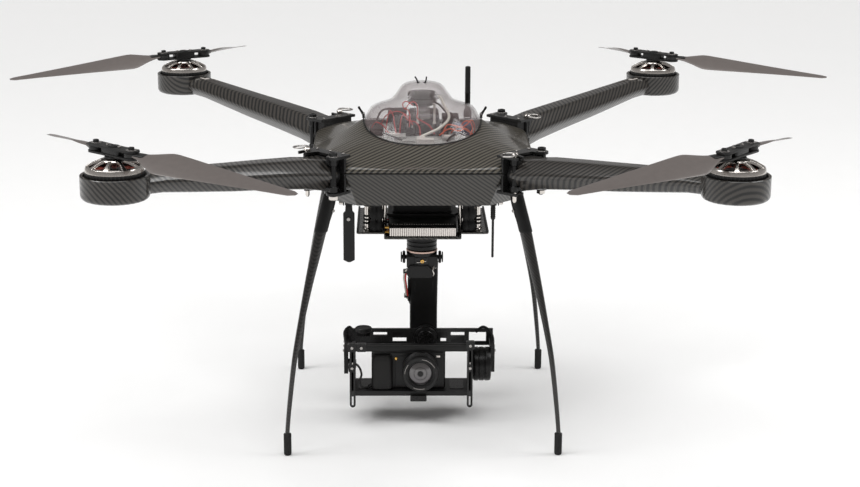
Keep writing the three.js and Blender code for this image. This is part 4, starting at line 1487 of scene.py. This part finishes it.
def paddle_antenna():
    (x0, y0, z0), (x1, y1, z1) = span("paddle_antenna")
    x, y = (x0 + x1) / 2, (y0 + y1) / 2
    paddle = Piece("paddle_antenna_blade", "paddle")
    levels = [(z1 - 11, 5.6), (-21, 6), (-25, 9.4), (-104, 9.4), (z0 + 0.4, 2.2)]
    outline = [(-w, z) for z, w in levels] + [(w, z) for z, w in reversed(levels)]
    loops = [
        [(x + px * s, y + d, pz) for px, pz in outline]
        for d, s in ((-3.9, 0.9), (-3, 1), (3, 1), (3.9, 0.9))
    ]
    paddle.add(rings(loops), "plastic")
    paddle.add(barrel(4.8, 6.6, 0.6, 0.6), "plastic", shift(x, y, -7), TO_X)
    paddle.add(block((x - 5, y - 3, -22), (x + 5, y + 3, -8)), "plastic")
    paddle.screw((x - 0.5, y - 3.6, -34), 3, "steel", TO_FRONT)
    paddle.done(0.5, ["paddle_antenna"])


def whip_antenna():
    (x0, y0, z0), (x1, y1, _) = span("whip_antenna")
    u, v = (x0 + x1) / 2, (y0 + y1) / 2
    whip = Piece("whip_antenna_rod", "whip")
    whip.add(turned([
        (0, z0), (1.7, z0), (2.05, z0 + 1), (2.05, -36), (3.2, -34.4), (3.9, -33), (3.9, -10),
        (3, -8), (0, -8),
    ], 24, (u, v)), "plastic")
    for k in range(5):
        whip.add(turned(
            [(3.8, 0), (4.2, 0.4), (4.2, 1.4), (3.8, 1.8)], 24, (u, v), True,
        ), "rubber", shift(0, 0, -31 + 3.4 * k))
    whip.add(barrel(4.9, 5.8, 0.5, 0.6), "plastic", shift(u, v, -7), TO_X)
    whip.done(0.2, ["whip_antenna"])


def antenna_brackets():
    """The forks under the body that the two lower antennas fold in."""
    for name, side in (("paddle", -1), ("whip", 1)):
        (x0, y0, _), (x1, y1, _) = span(f"{name}_antenna")
        at, y = (x0 + x1) / 2, (y0 + y1) / 2
        base = Piece(f"{name}_antenna_bracket", "airframe")
        for d in (-9.4, 7.6):
            base.add(block((at + d, y - 4, -11), (at + d + 1.8, y + 4, 0.9)), "black")
        base.add(prism(rounded(at - 10, at + 10, y - 5, y + 5, 2), -0.9, 0.8), "black")
        base.add(
            turned([(0, 0), (3, 0), (3, 6), (2.2, 7), (0, 7)], 20), "silver",
            shift(at + side * 9.4, y, -7), TO_X if side > 0 else TO_LEFT,
        )
        base.add(wire((
            (at - side * 12, y + 6, -6), (at - side * 18, y + 10, -10),
            (at - side * 24, y + 22, -8), (at - side * 30, y + 34, -1),
        ), 1.6, 8), "rubber")
        base.done(0.4)


# ---------------------------------------------------------------- gimbal
NOTCHES, FOCUS_RIBS = 18, 60  # around the yoke's knobs and the lens barrel
STRUT_SLOPE = 0.52  # how far back the strut's front runs for each millimetre down
ROLL_AT, TILT_AT = joint("gimbal_roll"), joint("gimbal_tilt")


def pan_motor():
    z0, z1 = (corner.z for corner in span("gimbal_pan_motor"))
    piece = Piece("pan_motor_case", "airframe")
    profile = [(0, z0), (25, z0), (25.8, z0 + 1)]
    for k in range(5):
        z = z0 + 3 + 7.2 * k
        profile += [(25.9, z), (25.9, z + 4), (24.4, z + 4.8), (24.4, z + 6.4)]
    profile += [(25.9, z0 + 39), (25.9, z1 - 0.8), (25, z1), (0, z1)]
    piece.add(turned(profile, 72), "black")
    for x, y in arc(21, range(30, 390, 60)):
        piece.add(disc(2.2, 0, 5, 14), "silver", shift(x, y, z1 - 4.6))
    piece.done(0.2, ["gimbal_pan_motor"])


def gimbal_yoke():
    """The panning head under the motor: collar, cheeks, front cover and side knobs."""
    piece = Piece("gimbal_yoke", "gimbal_arm")
    piece.add(turned([
        (0, -114.4), (26.5, -114.4), (26.9, -113.8), (26.9, -111.4), (26.4, -110.8), (0, -110.8),
    ], 72), "bronze")
    piece.add(turned([(0, -140), (24, -140), (26, -138), (26.4, -114.4), (0, -114.4)], 64), "black")
    cheek = [(-26, -24), (26, -24), (26, 16), (22, 22), (-22, 22), (-26, 16)]
    tiers = ((0.96, -139.6), (1, -137), (1, -120), (0.93, -117.4))
    piece.add(rings([[(x * s, y * s, z) for x, y in cheek] for s, z in tiers]), "satin")
    piece.add(prism(rounded(-12, 10, -27.4, -20, 2), -131.5, -121), "black")
    piece.screw((0.5, -27.2, -126.5), 3.4, "gold", TO_FRONT)
    piece.add(wire(((-9, -27.8, -128.5), (-2, -28.6, -128.3), (7, -27.8, -126)), 1.1), "silver")
    plate = [
        (-26, -150), (-26, -143), (-19, -134.4), (10, -134.4), (17, -143), (17, -156), (-22, -156),
    ]
    piece.add(along_y(plate, (-27.8, -14)), "satin")
    piece.add(along_y([
        (x * 0.86 - 0.6, z * 0.86 - 20.3)
        for x, z in plate
    ], (-28.4, -27)), "plastic")
    knob = [
        (0, 0), (3.6, 0), (3.6, 3), (9.6, 3.4), (10.4, 4.4), (10.4, 7), (9.6, 8), (3.6, 8.2),
        (3.6, 9), (8.6, 9.2), (9.2, 10), (9.2, 10.6), (8.4, 11.2), (0, 11.4),
    ]
    notch = prism([(9.9, -0.7), (10.8, -0.5), (10.8, 0.5), (9.9, 0.7)], 4.6, 6.8)
    for side, outward in ((-1, TO_LEFT), (1, TO_X)):
        place = shift(side * 25, -8, -124)
        piece.add(turned(knob, 40), "plastic", place, outward)
        for k in range(NOTCHES):
            piece.add(notch, "plastic", place, outward, spin(360 * k / NOTCHES))
        piece.screw((side * 23, -20, -139), 2.2, "steel", TO_FRONT)
    piece.add(wire((
        (20, -25, -136), (18.5, -28.4, -142), (20, -28.6, -148), (19, -26.4, -153),
    ), 1.1), "silver")
    piece.done(0.4, ["gimbal_arm"])


def gimbal_strut():
    """The arm that leads back and down from the yoke to the roll motor."""
    strut = Piece("gimbal_strut", "gimbal_arm")
    levels = (
        (-132, -14, 27), (-156, 2, 38), (-176, 15.5, 46.6), (-200, 27.4, 54), (-220, 36.5, 58.4),
        (-236, 43.2, 62), (-270, 43.4, 64),
    )
    strut.add(rings([
        [(x, y, z) for x, y in rounded(-20, 28, y0, y1, 4, 4)]
        for z, y0, y1 in levels
    ]), "satin")
    panel = []
    for depth, grow in ((0.5, 0), (-0.5, 0), (-0.9, -0.8), (-0.9, -2.2), (-0.3, -2.8), (0.5, -2.8)):
        edge = rounded(-17 - grow, 17 + grow, -19 - grow, 19 + grow, 9 + grow, 6)
        panel.append([(x + 4, 19 - z * STRUT_SLOPE + depth, z - 182) for x, z in edge])
    strut.add(rings(panel, wraps=True), "plastic")
    body = [
        (0, 43.4), (20.8, 43.4), (21.8, 44.6), (21.8, 56), (20.4, 57), (20.4, 58.4), (21.8, 59.4),
        (21.8, 68.8), (20.8, 70), (0, 70),
    ]
    strut.add(turned(body, 64), "black", shift(ROLL_AT.x, 0, ROLL_AT.z), TO_Y)
    for x, z in arc(14, range(45, 405, 90), (ROLL_AT.x, ROLL_AT.z)):
        head = turned([(0, 69.8), (2.4, 69.8), (2.4, 70.9), (1.2, 71.2), (0, 70.6)], 14)
        strut.add(head, "steel", shift(x, 0, z), TO_Y)
    strut.add(rings([[(x, y, z) for x, y in rounded(-24, -19.4, y0, y0 + 16, 1.5)] for z, y0 in
                     ((-216, 36), (-204, 31), (-190, 24), (-170, 13))]), "black")
    strut.done(0.4)


def gimbal_strap():
    """The cables along the strut, and their ties."""
    leads = Piece("gimbal_strap", "gimbal_arm")
    route = (
        (-22, -4, -146), (-27.5, 2, -152), (-29.5, 8, -164), (-28, 15, -178), (-26.5, 23, -192),
        (-25.5, 31, -204), (-23, 38, -211),
    )
    leads.add(wire(route, 2.6, 12), "rubber")
    leads.add(wire([(x - 1.2, y - 3, z) for x, y, z in route], 1.6, 10), "braid")
    leads.add(wire([(x + 1.6, y - 2.6, z - 2) for x, y, z in route[:-1]], 1.3, 10), "red")
    leads.add(wire((
        (-23, 38, -210), (-20, 50, -222), (-14, 56, -238), (-8, 58, -256),
    ), 1.7, 10), "rubber")
    for x, y, z in (route[1], route[5]):
        leads.add(rings([[
            (x + px, y + py, z + dz)
            for px, py in rounded(-4.6, 4.6, -5, 4, 2)
        ] for dz in (-3, 3)]), "plastic")
    leads.done(0.2)


def roll_frame():
    """The frame that rolls: back plate, side cheeks and the tilt motor."""
    at_tilt = shift(0, TILT_AT.y, TILT_AT.z)
    piece = Piece("roll_frame_bars", "roll_frame")
    # The back plate is a ladder: two rails with webs, which leaves its slots open.
    top, bottom, rail, y0, y1 = -267, -297, 6, 36.2, 42.2

    def bar_of(x0, x1, z0, z1):
        piece.add(block((x0, y0, z0), (x1, y1, z1)), "black")

    bar_of(-134, 126, top - rail, top)
    bar_of(-134, 126, bottom, bottom + rail)
    slots = (
        (-84, -60, -279, -273), (-50, -26, -291, -283), (34, 44, -292, -284), (52, 76, -280, -273),
        (84, 114, -291, -273),
    )
    edges = sorted({-134.0, 126.0, *(x for s in slots for x in s[:2])})
    for x0, x1 in zip(edges, edges[1:]):
        inside = [s for s in slots if s[0] <= x0 and x1 <= s[1]]
        if not inside:
            bar_of(x0, x1, bottom + rail - 0.1, top - rail + 0.1)
        for _, _, z0, z1 in inside:
            bar_of(x0, x1, bottom + rail - 0.1, z0)
            bar_of(x0, x1, z1, top - rail + 0.1)
    hub = [
        (0, 28), (14, 28), (15, 29.4), (20, 30.4), (20.8, 31.6), (20.8, 35), (22.6, 36), (22.6, 42),
        (0, 42),
    ]
    at_roll = shift(ROLL_AT.x, 0, ROLL_AT.z)
    piece.add(turned(hub, 64), "black", at_roll, TO_Y)
    for radius, depth in ((17.6, 30), (11.4, 27.6), (6.4, 27.6)):
        low, high = depth - 0.1, depth + 1.2
        groove = [
            (radius - 0.7, low), (radius + 0.7, low), (radius + 0.7, high), (radius - 0.7, high),
        ]
        piece.add(turned(groove, 64, hollow=True), "satin", at_roll, TO_Y)
    for x, z in arc(9, range(0, 360, 60), (ROLL_AT.x, ROLL_AT.z)):
        piece.screw((x, 28.1, z), 1.5, "satin", TO_FRONT)
    for x0, x1, foot, face, outward in (
        (-134, -127, -329, -134.1, TO_LEFT), (119, 126, -326, 126.1, TO_X),
    ):
        piece.add(along_x(rounded(-30, 41, -297, -280, 3), (x0, x1)), "satin")
        piece.add(along_x(rounded(-29, -3, foot, -281, 5), (x0, x1)), "satin")
        for y in (-22, 30, 5):
            piece.screw((face, y, -288), 2.2, "steel", outward)
    hinge = [(0, -128.4), (8.6, -128.4), (8.9, -128), (8.9, -121.4), (8.4, -121), (0, -121)]
    piece.add(turned(hinge, 36), "black", at_tilt, TO_X)
    case = [
        (0, 88.7), (26, 88.7), (29, 90.6), (29.4, 92), (29.4, 97), (28.4, 97.8), (28.4, 99.4),
        (29.4, 100.2), (29.4, 107), (28.4, 107.8), (28.4, 109.4), (29.4, 110.2), (29.4, 116),
        (28, 119), (25, 119.8), (0, 119.8),
    ]
    piece.add(turned(case, 80), "black", at_tilt, TO_X)
    for x in (96.5, 104):
        for k in range(3):
            edge = [(x - 1, 29.20325), (x + 1.4, 29.20325), (x + 1.4, 29.7022), (x - 1, 29.7022)]
            angles = (math.radians(16 * k - 42 + step) for step in (0, 4, 8, 11))
            mark = rings([[
                (out, r * math.sin(a), r * math.cos(a))
                for out, r in edge
            ] for a in angles])
            piece.add(mark, "steel", at_tilt, spin(-38, "X"))
    knob = [(0, 119.5), (12, 119.5), (12, 121), (9.4, 122), (9.4, 125.6), (8.4, 126), (0, 126)]
    piece.add(turned(knob, 40), "plastic", shift(0, TILT_AT.y, TILT_AT.z + 2), TO_X)
    for route in (
        ((-118, 34, -272), (-126, 38, -264), (-134, 30, -270), (-133, 14, -278), (-131, 0, -284)),
        ((96, 34, -272), (108, 32, -262), (120, 26, -268), (125, 12, -278), (124, 2, -296)),
    ):
        piece.add(wire(route, 2.4, 10), "rubber")
    cap = [
        (0, -276), (4, -276), (4, -268), (13.5, -266.4), (14.6, -265), (14.6, -260.6),
        (13.4, -259.4), (12, -260.4), (0, -260.4),
    ]
    piece.add(turned(cap, 40, (-101, 22)), "plastic")
    piece.add(block((-112, 18, -280), (-90, 37, -275)), "black")
    piece.done(0.5, ["roll_frame"])


def camera_cage():
    """The rails around the camera, which tilt with it."""
    left, right, front, back = -120, 85, -76, -5
    y0, y1 = front, front + 6.5
    piece = Piece("camera_cage_rails", "camera")
    for x in (left - 3, right - 8):
        for x0, x1 in ((x, x + 3.2), (x + 6.3, x + 9.5)):
            piece.add(block((x0, y0, -368), (x1, y1, -258.4)), "satin")
        for z0 in (-353, -343):
            piece.add(block((x + 3, y0 + 0.4, z0), (x + 6.5, y1 - 0.4, -258.4)), "black")
        middle = x + 4.75
        loop = arc(
            4.75, range(180, 361, 15), (middle, -368),
        ) + arc(1.6, range(360, 179, -15), (middle, -369))
        piece.add(along_y(loop, (y0, y1)), "satin")
        piece.add(block((x + 3.9, y0 + 1.5, -300), (x + 5.6, y0 - 0.2, -292)), "steel")
    piece.add(along_x(
        rounded(-76, -65, -273.5, -260.5, 4), (left - 1, -60, 20, right + 1),
    ), "satin")
    for x in (left, right - 6):
        piece.add(prism(rounded(x, x + 6, front + 6, back, 1), -345, -276), "satin")
    piece.add(prism(rounded(left, right, front + 1, back, 3), -352, -343.7), "satin")
    for x in (-97, 60):
        piece.add(prism(rounded(x - 12, x + 12, front + 14, back - 10, 4), -343.8, -343.0), "black")
    piece.add(prism(rounded(-20, 8, front - 5.6, front + 20, 3), -360, -350), "black")
    for x, z, wide in (
        (left + 1, -266, 7), (left + 17, -266, 8), (right - 3, -262, 7.4), (right - 3, -302, 5),
        (left + 1, -302, 6),
    ):
        piece.add(along_y(
            rounded(x - wide, x + wide, z - 7, z + 7, 2), (front - 0.6, front + 9),
        ), "black")
        piece.screw((x, front - 0.5, z), 2.5, "steel", TO_FRONT)
    piece.add(block((left - 2, -24, -322), (left + 5, -5, -305)), "black")
    at_tilt = shift(0, TILT_AT.y, TILT_AT.z)
    pin = [(0, -120.6), (8.6, -120.6), (8.6, -114), (7, -113), (0, -113)]
    piece.add(turned(pin, 36), "black", at_tilt, TO_X)
    piece.add(disc(20, 84, 88.3), "black", at_tilt, TO_X)
    piece.done(0.4, ["camera_cage"])


def camera_cable():
    cable = Piece("camera_cable", "camera")
    cable.add(wire((
        (-116, -70, -296), (-110, -74, -297), (-105, -76, -304), (-103, -76, -314),
        (-106, -75, -324), (-104, -74, -334), (-99, -70, -339), (-92, -62, -341),
    ), 1.9, 12), "rubber")
    cable.add(
        turned([(0, 0), (3.2, 0), (3.2, 6), (2.2, 9), (0, 9)], 20), "plastic",
        shift(-91, -60, -340.5), spin(60, "Y"),
    )
    cable.done(0)


def camera_case():
    """The camera's body with its grip, dials and screen."""
    (x0, y0, z0), (x1, y1, z1) = span("camera_body")
    front = -60
    piece = Piece("camera_case", "camera")
    tiers = ((1.4, z0), (0, z0 + 1.4), (0, z1 - 5), (1.2, z1 - 3.6), (2.4, z1 - 2.7))
    piece.add(tiered(x0, x1, front, y1, 4, tiers), "camera")
    grip_top = z1 - 7
    grip = (
        (3, z0), (0.8, z0 + 2), (0, z0 + 8), (0, grip_top - 10), (1.6, grip_top - 3), (4, grip_top),
    )
    piece.add(rings([[
        (x, y, z)
        for x, y in rounded(x0 + i, -50 - i, y0 + i, front + 5, 7)
    ] for i, z in grip]), "grip")
    piece.add(prism(rounded(-46, 38, front - 0.9, front + 1, 0.8), z0 + 3, z1 - 10), "camera")
    dial = [(0, z1 - 4), (6, z1 - 4), (6, z1 - 2.6), (5.2, z1 - 2), (0, z1 - 2)]
    piece.add(turned(dial, 40, (-66, -50)), "silver")
    piece.add(turned([
        (0, z1 - 2.2), (4, z1 - 2.2), (4, z1 - 0.4), (3.4, z1), (0, z1),
    ], 32, (-66, -50)), "silver")
    piece.add(turned([
        (0, z1 - 4), (7.6, z1 - 4), (7.6, z1 - 0.8), (7, z1 - 0.4), (0, z1 - 0.4),
    ], 40, (20, -42)), "camera")
    piece.add(
        turned([(0, 0), (2.6, 0), (2.6, 0.9), (1.9, 1.3), (0, 1.3)], 20), "gold",
        shift(-44, front - 0.8, z1 - 14), TO_FRONT,
    )
    piece.add(prism(rounded(-12, 12, -50, -34, 2), z1 - 3, z1 - 0.6), "black")
    piece.add(block((24, front - 1.3, z1 - 12), (31, front - 0.5, z1 - 9)), "silver")
    piece.add(prism(rounded(-38, 30, y1 - 1, y1 + 1.2, 1), z0 + 8, z1 - 14), "glass")
    for k in range(3):
        piece.add(
            turned([(0, 0), (3, 0), (2.6, 1.2), (0, 1.4)], 20), "satin",
            shift(-60, y1 - 0.3, z0 + 14 + 12 * k), TO_Y,
        )
    piece.done(0.5, ["camera_body"])


def camera_lens():
    """The lens barrel, made about Z and then turned to look forward."""
    (x0, _, z0), (x1, y1, z1) = span("camera_lens")
    x, z, r = (x0 + x1) / 2, (z0 + z1) / 2, (x1 - x0) / 2
    face = shift(x, y1, z) @ spin(180, "Z") @ TO_Y
    lens = Piece("camera_lens_barrel", "camera")
    shell = [
        (0, 0), (r - 2.4, 0), (r - 2, 0.6), (r - 2, 7.4), (r - 0.6, 8.8), (r - 0.1, 9.6),
        (r - 0.1, 14),
    ]
    for k in range(3):
        shell += [
            (r - 0.9, 14.8 + 5.4 * k), (r - 0.9, 18 + 5.4 * k), (r - 0.1, 18.8 + 5.4 * k),
            (r - 0.1, 19.6 + 5.4 * k),
        ]
    shell += [
        (r - 0.1, 35.4), (r - 1, 37.4), (r - 2.6, 38), (r - 6.4, 37.4), (r - 7, 36.2),
        (r - 9.4, 35.2), (r - 10.6, 32), (r - 12.4, 30.8), (0, 30.8),
    ]
    lens.add(turned(shell, 96), "lens", face)
    for k in range(FOCUS_RIBS):
        lens.add(
            block((r - 1.2, -0.8, 20.2), (r - 0.05, 0.8, 28.6)), "lens", face,
            spin(360 * k / FOCUS_RIBS),
        )
    for start, sweep, inset, material in (
        (205, 60, 4.6, "pale"), (320, 38, 4.6, "pale"), (64, 42, 4.6, "pale"),
        (0, 359, 1.9, "satin"),
    ):
        line = arc(r - inset, (start + sweep * k / 24 for k in range(25)))
        lens.add(wire([(*point, 37.75) for point in line], 0.32, 6, 2), material, face)
    dome = [(r - 12.3, 30.6), (r - 12.3, 31.2), (14, 32.8), (9, 34), (4, 34.7), (0, 34.9)]
    lens.add(turned([(0, 30.6), *dome], 64), "glass", face)
    lens.add(turned([
        (0, 34.2), (5.2, 34.2), (5.2, 34.75), (3, 35.05), (0, 35.15),
    ], 40), "lens", face)
    lens.add(turned([
        (10.6, 33.2), (11.4, 33.2), (11.4, 33.75), (10.6, 33.95),
    ], 64, hollow=True), "lens", face)
    lens.done(0.15, ["camera_lens"])


for make in (
    deck, deck_boards, flight_controller, battery, gps_mast, telemetry_antenna, wiring, white_cable,
    black_leads, tray, tray_standoffs, belly_boards, transmitter, paddle_antenna, whip_antenna,
    antenna_brackets, pan_motor, gimbal_yoke, gimbal_strut, gimbal_strap, roll_frame, camera_cage,
    camera_cable, camera_case, camera_lens,
):
    make()
